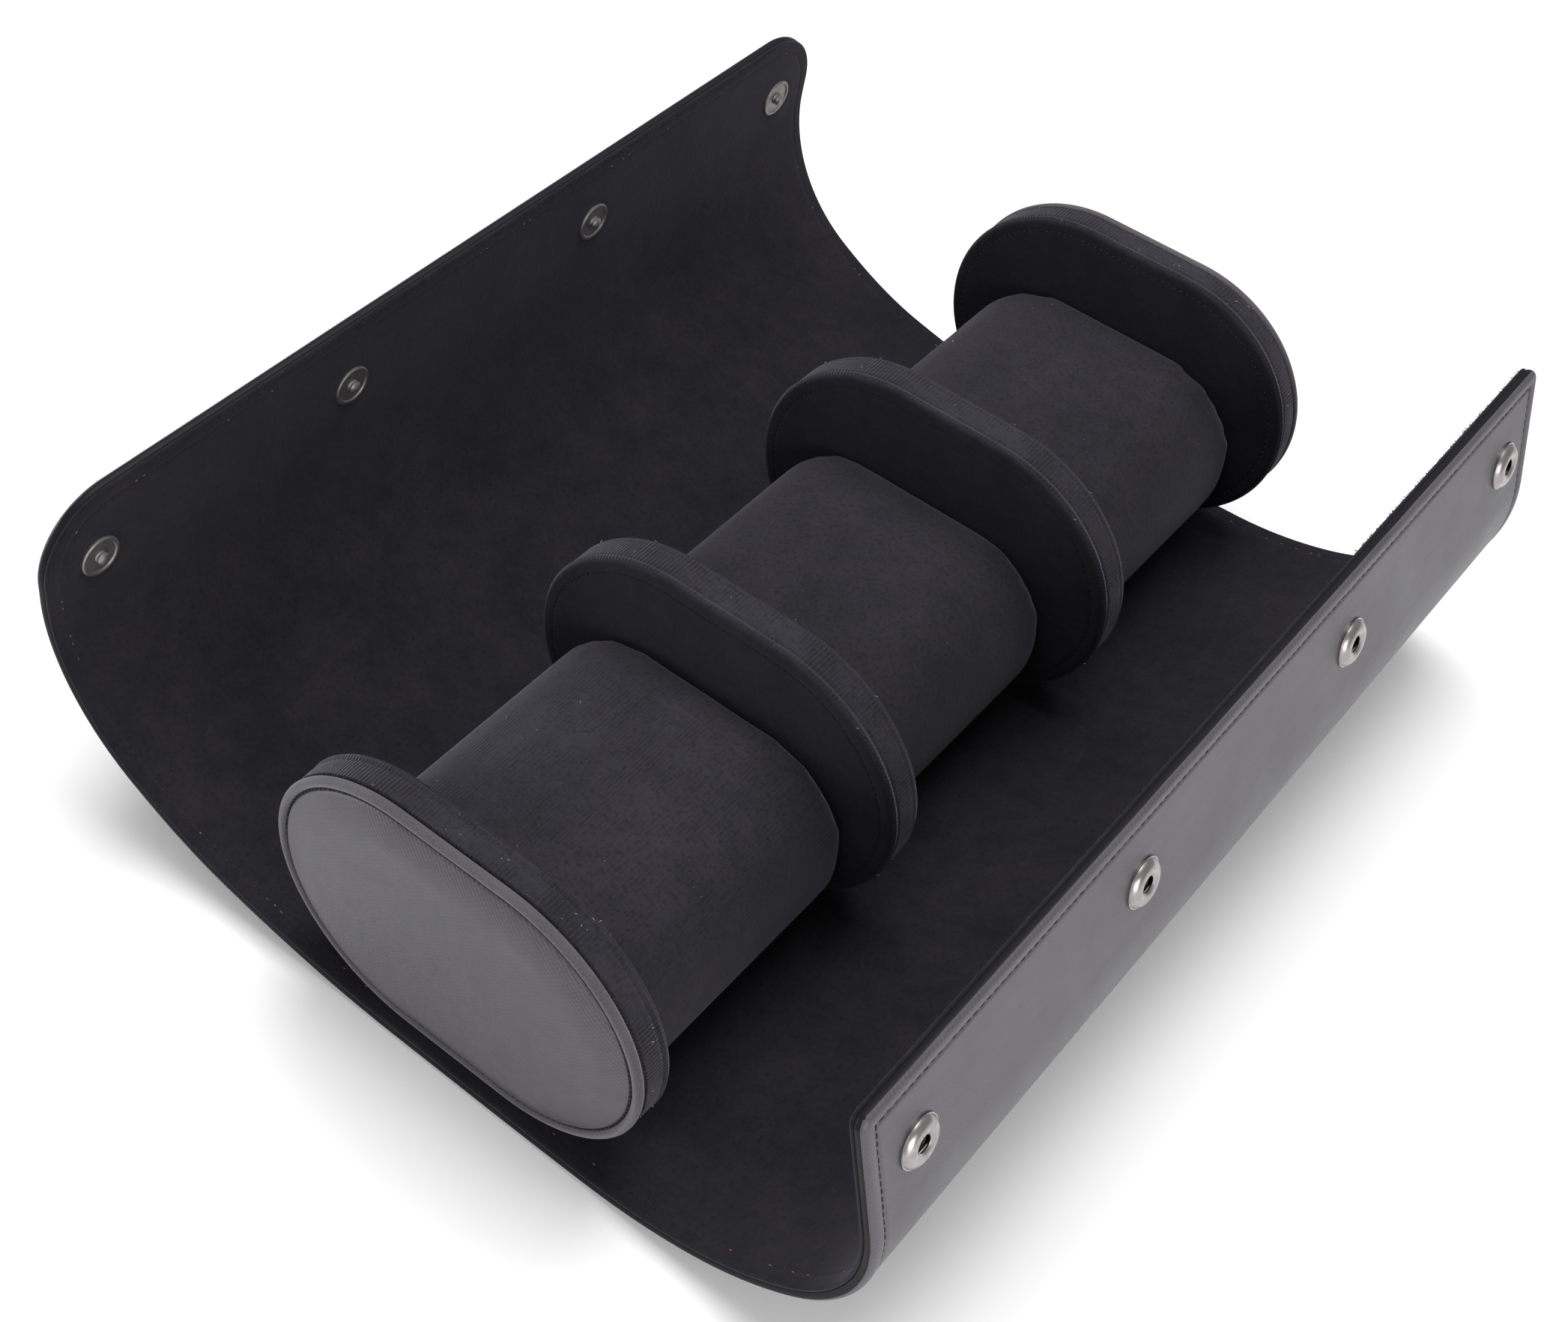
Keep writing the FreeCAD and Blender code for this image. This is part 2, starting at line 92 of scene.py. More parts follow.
DISC_LOW, DISC_HIGH = box("divider_1_rim_band")
DISC_R = (DISC_HIGH[2] - DISC_LOW[2]) / 2
DISC_FLAT = (DISC_HIGH[0] - DISC_LOW[0]) / 2 - DISC_R
DISC_Z = (DISC_HIGH[2] + DISC_LOW[2]) / 2
HALF_WIDTH = box("base_cover")[1][1]
SHEET_T = box("base_lining")[1][2]
SHEET_LOW, SHEET_HIGH = -SHEET_T / 2, SHEET_T / 2
COVER_T = box("base_board")[0][2]
BOARD_HIGH = SHEET_HIGH - (SHEET_T - box("base_board")[1][2])
BOARD_LOW = SHEET_LOW + COVER_T
EDGE_LIP = HALF_WIDTH - box("base_board")[1][1]
FACE_T = box("front_disc_inner_face")[1][1] - box("front_disc_inner_face")[0][1]
BAND_T = DISC_R - (box("divider_1_board")[1][2] - box("divider_1_board")[0][2]) / 2

# The bend of each flap, which the hinges don't tell.
BEND_TURN = math.radians(63)
LEAD_SLOPE = {"left": math.radians(32), "right": math.radians(40)}
CLOSED_LEAD_SLOPE, CLOSED_UPPER_SLOPE = math.radians(117), math.radians(78)
WRAP_CLEARANCE = 0.4 * MM
EYELET_STACK, SNAP_STACK = 1.0 * MM, 2.8 * MM
SNAP_TO_EDGE = {"left": 19.5 * MM, "right": 20.0 * MM}
CORNER_R = {"left": 20.0 * MM, "right": 3.0 * MM}
PANEL_SUPPORT = DISC_R + SHEET_T / 2 + WRAP_CLEARANCE
BEND_R = {"right": PANEL_SUPPORT + EYELET_STACK,
          "left": PANEL_SUPPORT + EYELET_STACK + SHEET_T + SNAP_STACK}
LINING_INSET, LINING_GROOVE = 0.12 * MM, 0.12 * MM
PILLOW_CORNER = 24.0 * MM
SNAP_YS = tuple(sign * y for sign in (-1, 1) for y in (45.1 * MM, HALF_WIDTH - 15.3 * MM))


# ---- settings that a user would change ------------------------------------------------------------


def linear(text):
    """An sRGB hex colour as linear red, green, blue."""
    parts = [int(text[i:i + 2], 16) / 255 for i in (1, 3, 5)]
    return tuple(p / 12.92 if p <= 0.04045 else ((p + 0.055) / 1.055) ** 2.4 for p in parts)


def length(label, description, millimetres):
    return bpy.props.FloatProperty(name=label, description=description, default=millimetres * MM,
                                   min=0.0, soft_max=0.1, precision=5, unit="LENGTH")


def colour(label, description, text):
    return bpy.props.FloatVectorProperty(name=label, description=description, size=3, min=0.0, max=1.0,
                                         subtype="COLOR", default=linear(text))


class TravelRollSizes(bpy.types.PropertyGroup):
    stitch_inset: length("Wrap stitch inset", "From the edge of the wrap to its line of stitching", 3.8)
    stitch_pitch: length("Stitch pitch", "From one stitch of the wrap to the next", 2.3)
    stitch_length: length("Stitch length", "Length of one stitch of the wrap", 2.1)
    thread_radius: length("Thread radius", "Radius of the sewing thread", 0.24)
    stitch_groove: length("Stitch groove", "Depth to which a row of stitching pulls the surface in", 0.38)
    disc_stitch_inset: length("Disc stitch inset", "From a disc's rim to the stitching on its faces", 3.4)
    face_crown: length("Face crown", "Rise of a padded leather face from its stitching to its middle", 2.8)
    pillow_voxel: length("Pillow voxel", "Size of the pillow's cloth mesh before it is inflated", 4.0)
    pillow_cap: length("Pillow swell cap", "Most that any point of a pillow may swell", 6.0)


class TravelRollColours(bpy.types.PropertyGroup):
    leather: colour("Leather", "Colour of the printed cowhide", "#444147")
    suede: colour("Suede", "Colour of the microsuede at rest", "#201f24")
    suede_brushed: colour("Brushed suede", "Colour of the microsuede where its nap is brushed up",
                          "#2a282e")
    thread: colour("Thread", "Colour of the sewing thread", "#101012")
    needle_fluff: colour("Needle fluff", "Colour of the fluff at some needle holes", "#8a4c38")
    lint: colour("Lint", "Colour of stray cotton fibres", "#8f8c8b")
    steel: colour("Plated steel", "Colour of the snaps' gunmetal plating", "#a5a1a0")
    floor: colour("Floor", "Colour of the studio floor", "#f2f2f2")


def sizes():
    return bpy.context.scene.travel_roll_sizes


def colours():
    return bpy.context.scene.travel_roll_colours


# ---- meshes from grids of points --------------------------------------------------------------------


def quads(rows, columns, wrap_rows=False, wrap_columns=False):
    """Corners of each quad of a grid, as row and column numbers before they wrap round."""
    i, j = np.meshgrid(np.arange(rows - (not wrap_rows)), np.arange(columns - (not wrap_columns)),
                       indexing="ij")
    return np.stack([np.stack([i, i + 1, i + 1, i], -1), np.stack([j, j, j + 1, j + 1], -1)],
                    -1).reshape(-1, 4, 2)


def surface(points, cut, wrap_rows=False, wrap_columns=False, flip=False):
    """One grid of points as vertices, quads and the quads' places on the flat cut."""
    rows, columns = points.shape[:2]
    corners = quads(rows, columns, wrap_rows, wrap_columns)
    if flip:
        corners = corners[:, ::-1]
    faces = (corners[..., 0] % rows) * columns + corners[..., 1] % columns
    return points.reshape(-1, 3), faces, cut[corners[..., 0], corners[..., 1]]


def joined(*parts):
    """Several surfaces as one, each one's vertex numbers counted on from the last."""
    starts = np.cumsum([0] + [len(p[0]) for p in parts[:-1]])
    return (np.concatenate([p[0] for p in parts]),
            np.concatenate([p[1] + start for p, start in zip(parts, starts)]),
            np.concatenate([p[2] for p in parts]))


def slab(low, high, cut, cut_high=None):
    """A solid between two grids of points that meet along their edges, with its first and last rows
    walled."""
    parts = [surface(low, cut), surface(high, cut if cut_high is None else cut_high, flip=True)]
    for row in (0, -1):
        wall = np.stack([low[row], high[row]])
        parts.append(surface(wall, np.stack([cut[row], cut[row]])))
    return joined(*parts)


def make_piece(name, shape, material, sharp=50, closed=True):
    """A smooth-shaded object from vertices, quads and cut places; doubles merged and faces turned
    outwards."""
    points, faces, cut = shape
    mesh = bpy.data.meshes.new(name)
    mesh.from_pydata(points.tolist(), [], faces.tolist())
    mesh.uv_layers.new(name=CUT).uv.foreach_set("vector", cut.astype(np.float32).ravel())
    work = bmesh.new()
    work.from_mesh(mesh)
    bmesh.ops.remove_doubles(work, verts=work.verts, dist=2e-6)
    bmesh.ops.dissolve_degenerate(work, edges=work.edges, dist=1e-7)
    if closed:
        bmesh.ops.recalc_face_normals(work, faces=work.faces)
    work.to_mesh(mesh)
    work.free()
    mesh.shade_smooth()
    mesh.set_sharp_from_angle(angle=math.radians(sharp))
    mesh.materials.append(material)
    piece = bpy.data.objects.new(name, mesh)
    bpy.context.scene.collection.objects.link(piece)
    return piece


def rounded(distance, radius):
    """Share of the full thickness at a distance from an edge that is rounded to a quarter circle."""
    t = np.clip(distance / radius, 0, 1)
    return np.sqrt(t * (2 - t))


def ridge(distance, centre, width):
    """A smooth bell of height 1 at a distance from an edge."""
    return np.exp(-((distance - centre) / width) ** 2)


def ease(low, high, value):
    """0 below low, 1 above high, and a smooth step between."""
    t = np.clip((value - low) / (high - low), 0, 1)
    return t * t * (3 - 2 * t)


# ---- materials ------------------------------------------------------------------------------------


def add(tree, kind, inputs=(), output=0, **settings):
    """Adds a node with its settings, sets or links its inputs, and gives one of its outputs."""
    made = tree.nodes.new("ShaderNode" + kind)
    for name, value in settings.items():
        setattr(made, name, value)
    for socket, value in dict(inputs).items():
        if isinstance(value, bpy.types.NodeSocket):
            tree.links.new(value, made.inputs[socket])
        elif made.inputs[socket].type == "RGBA":
            made.inputs[socket].default_value = (*value, 1.0)
        else:
            made.inputs[socket].default_value = value
    return made.outputs[output]


def new_material(name, **shader_values):
    """A material's tree and its Principled shader, with values that are the same all over set on it."""
    material = bpy.data.materials.new(name)
    material.use_nodes = True
    tree = material.node_tree
    shader = tree.nodes["Principled BSDF"]
    for socket, value in shader_values.items():
        shader.inputs[socket.replace("_", " ")].default_value = value
    return material, tree, shader


def millimetres(tree, source):
    """A place in metres as millimetres, so that each pattern's scale is one over its real size."""
    return add(tree, "VectorMath", {0: source, "Scale": 1000.0}, operation="SCALE")


def on_cut(tree):
    return millimetres(tree, add(tree, "UVMap", uv_map=CUT))


def on_solid(tree):
    return millimetres(tree, add(tree, "TexCoord", output="Object"))


def weighted(tree, *parts):
    """Sum of pairs, each a pattern and its weight."""
    total = 0.0
    for pattern, weight in parts:
        total = add(tree, "Math", {0: pattern, 1: weight, 2: total}, operation="MULTIPLY_ADD")
    return total


def hairlines(tree, place, angle, spacing, wobble):
    """Parallel lines a spacing in millimetres apart, turned by an angle in degrees."""
    turned = add(tree, "Mapping", {"Vector": place, "Rotation": (0, 0, math.radians(angle))})
    return add(tree, "TexWave",
               {"Vector": turned, "Scale": 2 * math.pi / (20 * spacing), "Distortion": wobble,
                                 "Detail": 1.0, "Detail Scale": 1.5}, output="Fac")


def dress(tree, shader, layers, roughness, relief, depth):
    """Dresses a shader: colours laid over each other, a roughness, and a relief depth millimetres high.

    Layers start with a colour. Each other layer is a pattern, the range of it that counts, the shares of
    the layer at that range's ends, and the layer's colour. The roughness is given the same way.
    """
    tint = layers[0]
    for pattern, low, high, least, most, colour in layers[1:]:
        share = add(tree, "MapRange", {"Value": pattern, "From Min": low, "From Max": high, "To Min": least,
                                       "To Max": most})
        tint = add(tree, "Mix", {"Factor": share, 6: tint, 7: colour}, output=2, data_type="RGBA")
    pattern, low, high, least, most = roughness
    rough = add(tree, "MapRange", {"Value": pattern, "From Min": low, "From Max": high, "To Min": least,
                                   "To Max": most})
    normal = add(tree, "Bump", {"Height": relief, "Distance": depth * MM, "Strength": 1.0})
    for socket, value in (("Base Color", tint), ("Roughness", rough), ("Normal", normal)):
        tree.links.new(value, shader.inputs[socket])


def brighter(base, times):
    return tuple(min(1.0, c * times) for c in base)


def crosshatch_leather(name="crosshatch_printed_cowhide", lean=1, print_depth=1.0):
    """Cowhide with a pressed cross-hatch print under a hard satin finish: fine hairlines that lean one way,
    fainter ones that lean the other way, and soft streaks. The real print is about 0.6 mm apart, and is
    drawn half as coarse again so that it shows. Its cut edges are coloured near black and made duller,
    which a
    cut place moved by a metre tells: edge paint, and painted shade on the edge and in the groove by the
    lining. Beside them the arris carries a pale painted highlight, for light caught on it."""
    material, tree, shader = new_material(name, IOR=1.5, Coat_Weight=0.05, Coat_Roughness=0.4)
    place, base = on_cut(tree), colours().leather
    lines = weighted(tree, (hairlines(tree, place, -47 * lean, 0.9, 1.6), 0.7),
                     (hairlines(tree, place, 50 * lean, 1.0, 1.6), 0.3))
    pressed = add(tree, "TexNoise", {"Vector": place, "Scale": 1 / 7, "Detail": 3.0, "Roughness": 0.6})
    pressed = add(tree, "MapRange", {"Value": pressed, "From Min": 0.35, "From Max": 0.6, "To Min": 0.45})
    weave = add(tree, "Math", {0: lines, 1: pressed}, operation="MULTIPLY")
    worn = add(tree, "TexNoise", {"Vector": place, "Scale": 1 / 22, "Detail": 3.0, "Roughness": 0.55})
    drawn_out = add(tree, "Mapping", {"Vector": place, "Scale": (1.0, 0.12, 1.0)})
    streaks = add(tree, "TexNoise",
                  {"Vector": drawn_out, "Scale": 1 / 3.2, "Detail": 3.0, "Roughness": 0.6})
    pores = add(tree, "TexNoise", {"Vector": place, "Scale": 1 / 0.5, "Detail": 2.0, "Roughness": 0.6})
    moved = add(tree, "SeparateXYZ", {0: add(tree, "UVMap", uv_map=CUT)}, output="Y")
    layers = [brighter(base, 0.86),
              (worn, 0.35, 0.65, 0.0, 1.0, brighter(base, 1.14)),
              (streaks, 0.35, 0.7, 0.0, 0.35, brighter(base, 1.35)),
              (weave, 0.1, 0.6, 0.6 * print_depth, 0.0, brighter(base, 0.45)),
              # painted highlight: a pale line where the cut place moves, on the arris beside the dark edge
              (moved, 0.15, 0.4, 0.0, 0.7, brighter(base, 1.9)),
              # near black on the cut edges, with the shine dulled below: edge paint, and painted shade on
              # the edge and in the groove by the lining
              (moved, 0.6, 0.8, 0.0, 1.0, brighter(colours().suede, 0.6))]
    dress(tree, shader, layers, (worn, 0.3, 0.7, 0.42, 0.54),
          weighted(tree, (weave, print_depth), (pores, 0.4)), 0.07)
    shine = add(tree, "MapRange",
                {"Value": moved, "From Min": 0.6, "From Max": 0.8, "To Min": 0.5, "To Max": 0.06})
    tree.links.new(shine, shader.inputs["Specular IOR Level"])
    return material


def brushed_bead():
    """The end discs' rolled edge: the same hide with its print skived off and its fibres raised, so it is
    duller than the faces, with a fine woolly speckle."""
    material, tree, shader = new_material("skived_cowhide_bead", Specular_IOR_Level=0.25, Sheen_Weight=0.25,
                                          Sheen_Roughness=0.5)
    place, base = on_cut(tree), colours().leather
    wool = add(tree, "TexNoise", {"Vector": place, "Scale": 1 / 0.5, "Detail": 3.0, "Roughness": 0.7})
    worn = add(tree, "TexNoise", {"Vector": place, "Scale": 1 / 14, "Detail": 3.0, "Roughness": 0.55})
    layers = [brighter(base, 0.8),
              (worn, 0.35, 0.65, 0.0, 1.0, brighter(base, 1.05)),
              (wool, 0.4, 0.65, 0.0, 0.5, brighter(base, 1.7))]
    dress(tree, shader, layers, (wool, 0.3, 0.7, 0.9, 0.7), wool, 0.12)
    return material


def microsuede(name, painted_shade=1.0, rib=0.0, nap=1.0, rib_show=1.0):
    """Polyester microsuede: a sheared nap of very fine fibres, which brushes lighter and darker in soft
    blotches and has a faint sheen at its edges. Painted shade makes the whole darker, its shine and
    sheen too, for parts that sit in shade; rib is the spacing of the ribbed ground that shows through here
    and there, in lines across the cut's run."""
    # painted shade dims the suede's shine and sheen
    material, tree, shader = new_material(name, Specular_IOR_Level=0.12 * painted_shade, Sheen_Weight=0.3 * painted_shade,
                                          Sheen_Roughness=0.45, Sheen_Tint=(0.6, 0.57, 0.68, 1.0))
    # painted shade darkens both colours of the nap
    rest, raised = brighter(colours().suede, painted_shade), brighter(colours().suede_brushed, painted_shade)
    place = on_cut(tree)
    broad = add(tree, "TexNoise", {"Vector": place, "Scale": 1 / 24, "Detail": 4.0, "Roughness": 0.55})
    patches = add(tree, "TexNoise", {"Vector": place, "Scale": 1 / 5, "Detail": 3.0, "Roughness": 0.6})
    brushed = weighted(tree, (broad, 0.6), (patches, 0.4))
    strands = add(tree, "TexNoise", {"Vector": place, "Scale": 1 / 0.45, "Detail": 3.0, "Roughness": 0.7})
    flecks = add(tree, "TexNoise", {"Vector": place, "Scale": 1 / 1.2, "Detail": 3.0, "Roughness": 0.65})
    relief = [(strands, 0.5), (flecks, 0.6)]
    layers = [brighter(rest, 0.9),
              (brushed, 0.36, 0.64, 0.0, 1.0, brighter(raised, 1.1)),
              (strands, 0.35, 0.7, 0.0, 0.45 * nap, brighter(rest, 1.9)),
              (flecks, 0.5, 0.66, 0.0, 0.45 * nap, brighter(rest, 0.55))]
    if rib:
        worn = add(tree, "TexNoise", {"Vector": place, "Scale": 1 / 9, "Detail": 2.0, "Roughness": 0.5})
        worn = add(tree, "MapRange", {"Value": worn, "From Min": 0.38, "From Max": 0.6})
        showing = add(tree, "Math", {0: hairlines(tree, place, 0, rib, 0.5), 1: worn}, operation="MULTIPLY")
        relief.append((showing, 0.8 * rib_show))
        layers.append((showing, 0.0, 1.0, 0.0, 0.4 * rib_show, brighter(rest, 0.5)))
    dress(tree, shader, layers, (brushed, 0.3, 0.7, 0.97, 0.88), weighted(tree, *relief), 0.14)
    return material


def spun_thread(name, base, fluff_from):
    """Bonded polyester thread: two plies twisted tight, with a dull waxy gloss; a few stitches carry
    reddish fluff that the needle pulled through, which the cut's second number tells."""
    material, tree, shader = new_material(name, Specular_IOR_Level=0.3)
    plies = hairlines(tree, on_cut(tree), 0, 0.45, 0.0)
    tone = add(tree, "SeparateXYZ", {0: add(tree, "UVMap", uv_map=CUT)}, output="Y")
    layers = [brighter(base, 0.7),
              (plies, 0.0, 1.0, 0.0, 1.0, brighter(base, 1.3)),
              (tone, fluff_from, fluff_from + 0.03, 0.0, 1.0, colours().needle_fluff)]
    dress(tree, shader, layers, (plies, 0.0, 1.0, 0.7, 0.55), plies, 0.05)
    return material


def loose_fibre(name, base):
    """Stray fibres: matt, each a little lighter or darker, which the cut's second number tells."""
    material, tree, shader = new_material(name, Specular_IOR_Level=0.1)
    tone = add(tree, "SeparateXYZ", {0: add(tree, "UVMap", uv_map=CUT)}, output="Y")
    layers = [brighter(base, 0.6), (tone, 0.0, 1.0, 0.0, 1.0, brighter(base, 1.2))]
    dress(tree, shader, layers, (tone, 0.0, 1.0, 1.0, 0.85), tone, 0.01)
    return material


def plated_steel(name, tone, roughness):
    """Steel under a gunmetal plating: clean reflections, with faint turning marks and darker, duller
    patches laid at random, as where fingers don't polish it."""
    material, tree, shader = new_material(name, Metallic=1.0)
    place = on_solid(tree)
    smear = add(tree, "TexNoise", {"Vector": place, "Scale": 1 / 1.6, "Detail": 3.0, "Roughness": 0.6})
    grit = add(tree, "TexNoise", {"Vector": place, "Scale": 1 / 0.12, "Detail": 2.0, "Roughness": 0.6})
    layers = [brighter(tone, 0.75), (smear, 0.35, 0.7, 0.0, 1.0, tone)]
    dress(tree, shader, layers, (smear, 0.3, 0.7, roughness + 0.12, roughness), grit, 0.006)
    return material


def grey_board():
    """Grey bookbinder's board: pressed recycled pulp, matt, with darker and lighter fibre flecks."""
    material, tree, shader = new_material("grey_pulp_board", Specular_IOR_Level=0.25)
    flecks = add(tree, "TexNoise",
                 {"Vector": on_solid(tree), "Scale": 1 / 0.8, "Detail": 4.0, "Roughness": 0.7})
    layers = [linear("#6d6a64"), (flecks, 0.3, 0.7, 0.0, 1.0, linear("#8d8981"))]
    dress(tree, shader, layers, (flecks, 0.3, 0.7, 0.9, 0.8), flecks, 0.05)
    return material


def open_cell_foam():
    """Charcoal polyurethane foam: matt and pitted with cut cells."""
    material, tree, shader = new_material("open_cell_foam", Specular_IOR_Level=0.2)
    cells = add(tree, "TexVoronoi", {"Vector": on_solid(tree), "Scale": 1 / 0.9})
    layers = [linear("#222224"), (cells, 0.1, 0.6, 0.0, 1.0, linear("#3a3a3d"))]
    dress(tree, shader, layers, (cells, 0.0, 0.6, 1.0, 0.85), cells, 0.3)
    return material


def studio_floor():
    """Matt white laminate sweep, with the least tooth so that it isn't a flat fill."""
    material, tree, shader = new_material("matt_white_laminate", Specular_IOR_Level=0.2)
    tooth = add(tree, "TexNoise",
                {"Vector": on_solid(tree), "Scale": 1 / 60, "Detail": 2.0, "Roughness": 0.5})
    layers = [brighter(colours().floor, 0.99), (tooth, 0.0, 1.0, 0.0, 1.0, tuple(colours().floor))]
    dress(tree, shader, layers, (tooth, 0.3, 0.7, 0.75, 0.7), tooth, 0.02)
    return material


MATERIALS = {
    "leather": lambda: crosshatch_leather(lean=-1, print_depth=0.55),
    "face_leather": lambda: crosshatch_leather("crosshatch_printed_cowhide_face"),
    "bead": brushed_bead,
    # lining and disc faces: darker copies of the same suede, painted shade for the shade in the trough and
    # between the discs
    "lining": lambda: microsuede("microsuede_lining", 0.62),
    "face": lambda: microsuede("microsuede_disc_face", 0.7, nap=0.8),
    "band": lambda: microsuede("ribbed_microsuede_band", rib=1.05, nap=1.4, rib_show=1.6),
    "pillow_1": lambda: microsuede("ribbed_microsuede_pillow", rib=1.1, rib_show=0.7, nap=1.4),
    # pillows 2 and 3: a darker copy of the pillow suede, painted shade
    "pillow": lambda: microsuede("microsuede_pillow", 0.85, nap=1.4),
    "thread": lambda: spun_thread("bonded_polyester_thread", colours().thread, 2.0),
    "lining_thread": lambda: spun_thread("fine_polyester_thread", brighter(colours().suede, 0.8), 0.82),
    "disc_thread": lambda: spun_thread("fine_charcoal_thread", brighter(colours().suede, 1.6), 2.0),
    "lint": lambda: loose_fibre("cotton_lint", colours().lint),
    "nap": lambda: loose_fibre("frayed_microsuede_nap", brighter(colours().suede_brushed, 1.1)),
    "plating": lambda: plated_steel("gunmetal_plated_steel_parts", colours().steel, 0.24),
    "stud_plating": lambda: plated_steel("darker_gunmetal_plated_studs", brighter(colours().steel, 0.7),
                                         0.5),
    "spring": lambda: plated_steel("drawn_spring_wire", brighter(colours().steel, 1.2), 0.3),
    "board": grey_board,
    "foam": open_cell_foam,
}


made_materials = {}


def material(kind):
    """The material of a kind, made the first time that it is asked for."""
    if kind not in made_materials:
        made_materials[kind] = MATERIALS[kind]()
    return made_materials[kind]


# ---- the wrap's path and its spans -------------------------------------------------------------


class Span:
    """A stretch of the wrap's middle plane: its arc length, place and inward normal, finely sampled."""

    def __init__(self, name, side, points, bodies, start):
        self.name, self.side, self.bodies, self.start = name, side, bodies, start
        steps = np.diff(points, axis=0)
        self.s = np.concatenate([[0], np.cumsum(np.hypot(*steps.T))])
        self.points = points
        tangent = np.gradient(points, self.s, axis=0)
        tangent /= np.hypot(*tangent.T)[:, None]
        self.normal = np.stack([-tangent[:, 1], tangent[:, 0]], -1)
        self.length = self.s[-1]

    def lay(self, s, y, h):
        """Points at arc length s, width y and height h towards the lining."""
        place = [np.interp(s, self.s, self.points[:, k]) for k in (0, 1)]
        normal = [np.interp(s, self.s, self.normal[:, k]) for k in (0, 1)]
        return np.stack([self.side * (place[0] + h * normal[0]), y, place[1] + h * normal[1]], -1)

    def ends(self):
        return [(self.side * x, 0.0, z) for x, z in (self.points[0], self.points[-1])]


def bend_between(first, corner, last, count=161):
    """Parabola from first to last that touches both straight runs that meet at the corner."""
    t = np.linspace(0, 1, count)[:, None]
    return (1 - t) ** 2 * first + 2 * t * (1 - t) * corner + t ** 2 * last


def flap_lengths(side):
    """Lengths of a flap's straight lead and tail, which let the closed wrap meet over the discs."""
    half_third = PANEL_SUPPORT * math.tan((CLOSED_LEAD_SLOPE - CLOSED_UPPER_SLOPE) / 2)
    shift = (BEND_R[side] - PANEL_SUPPORT) / math.sin(CLOSED_LEAD_SLOPE)
    return half_third - shift * math.cos(CLOSED_LEAD_SLOPE), DISC_FLAT - shift + SNAP_TO_EDGE[side]


def flap_points(side, start):
    """A flap's round bend and then its straight tail."""
    radius, slope = BEND_R[side], LEAD_SLOPE[side]
    centre = start + radius * np.array([-math.sin(slope), math.cos(slope)])
    angles = np.linspace(slope, slope + BEND_TURN, 241)
    arc = centre + radius * np.stack([np.sin(angles), -np.cos(angles)], -1)
    tail = np.linspace(0, flap_lengths(side)[1], 121)[1:, None]
    return np.concatenate([arc, arc[-1] + tail * np.array([math.cos(angles[-1]), math.sin(angles[-1])])])


def side_spans(side):
    """The four spans of one side, from the base's flat to the flap's tip."""
    lower, upper, flap = (joint_point("%s_%s_fold" % (side, p)) for p in ("lower", "upper", "flap"))
    slope = LEAD_SLOPE[side]
    lead_end = flap + flap_lengths(side)[0] * np.array([math.cos(slope), math.sin(slope)])
    flat_end = np.array([DISC_FLAT, lower[1]])
    stops = [flat_end, (lower + upper) / 2, (upper + flap) / 2, lead_end]
    names = ("base_to_lower", "lower_to_upper", "upper_to_flap")
    bodies = ("core_and_base", side + "_lower", side + "_upper", side + "_flap")
    spans, start = [], DISC_FLAT
    for k, corner in enumerate((lower, upper, flap)):
        points = bend_between(stops[k], corner, stops[k + 1])
        spans.append(Span("%s_%s" % (side, names[k]), SIDES[side], points, bodies[k:k + 2], start))
        start += spans[-1].length
    spans.append(Span(side + "_flap", SIDES[side], flap_points(side, lead_end), (side + "_flap",), start))
    return spans


def all_spans():
    flat = np.linspace([-DISC_FLAT, SHEET_T / 2], [DISC_FLAT, SHEET_T / 2], 41)
    return ([Span("base", 1, flat, ("core_and_base",), -DISC_FLAT)]
            + side_spans("left") + side_spans("right"))


def is_flap(span):
    return span.name.endswith("_flap") and "_to_" not in span.name


def corner_radius(span):
    return CORNER_R[span.name.split("_")[0]]


def edge_distance(span, s, y):
    """Distance from the wrap's free edge; a flap has a tip with round corners as well as its sides."""
    if not is_flap(span):
        return HALF_WIDTH - np.abs(y)
    radius = corner_radius(span)
    across, along = np.abs(y) - (HALF_WIDTH - radius), s - (span.length - radius)
    outside = np.hypot(np.maximum(across, 0), np.maximum(along, 0))
    return radius - outside - np.minimum(np.maximum(across, along), 0)


def grid_on(span, inset, coarse, fine):
    """Rows and columns of a layer: dense at its free edges and its stitching, and inset from the edge."""
    roll = 1.3 * MM * (1 - np.cos(np.linspace(0, math.pi / 2, 7)))
    band = np.arange(roll[-1] + fine, 8 * MM, fine)
    near = np.concatenate([roll, band])
    half = HALF_WIDTH - inset
    middle = np.linspace(half - near[-1], -(half - near[-1]), 2 + int(2 * half / coarse))[1:-1]
    columns = np.concatenate([half - near, middle, -(half - near)[::-1]])
    end = span.length - (inset if is_flap(span) else 0.0)
    if not is_flap(span):
        rows = np.linspace(0, end, 3 + int(span.length / (1.3 * MM)))
        return np.meshgrid(rows, columns, indexing="ij")
    radius = max(corner_radius(span) - inset, 1.5 * MM)
    turn = np.linspace(0, math.pi / 2, 3 + int(1.6 * radius / fine))[1:]
    fine_start = max(8 * MM, radius)
    rows = np.concatenate([np.linspace(0, end - fine_start, 2 + int((end - fine_start) / (0.9 * MM))),
                           np.arange(end - fine_start + fine, end - radius, fine),
                           end - radius + radius * np.sin(turn)])
    into = np.clip((rows - (end - radius)) / radius, 0, 1)
    narrowing = radius * (1 - np.sqrt(1 - into ** 2))
    s, across = np.meshgrid(rows, columns / half, indexing="ij")
    return s, across * (half - narrowing)[:, None]


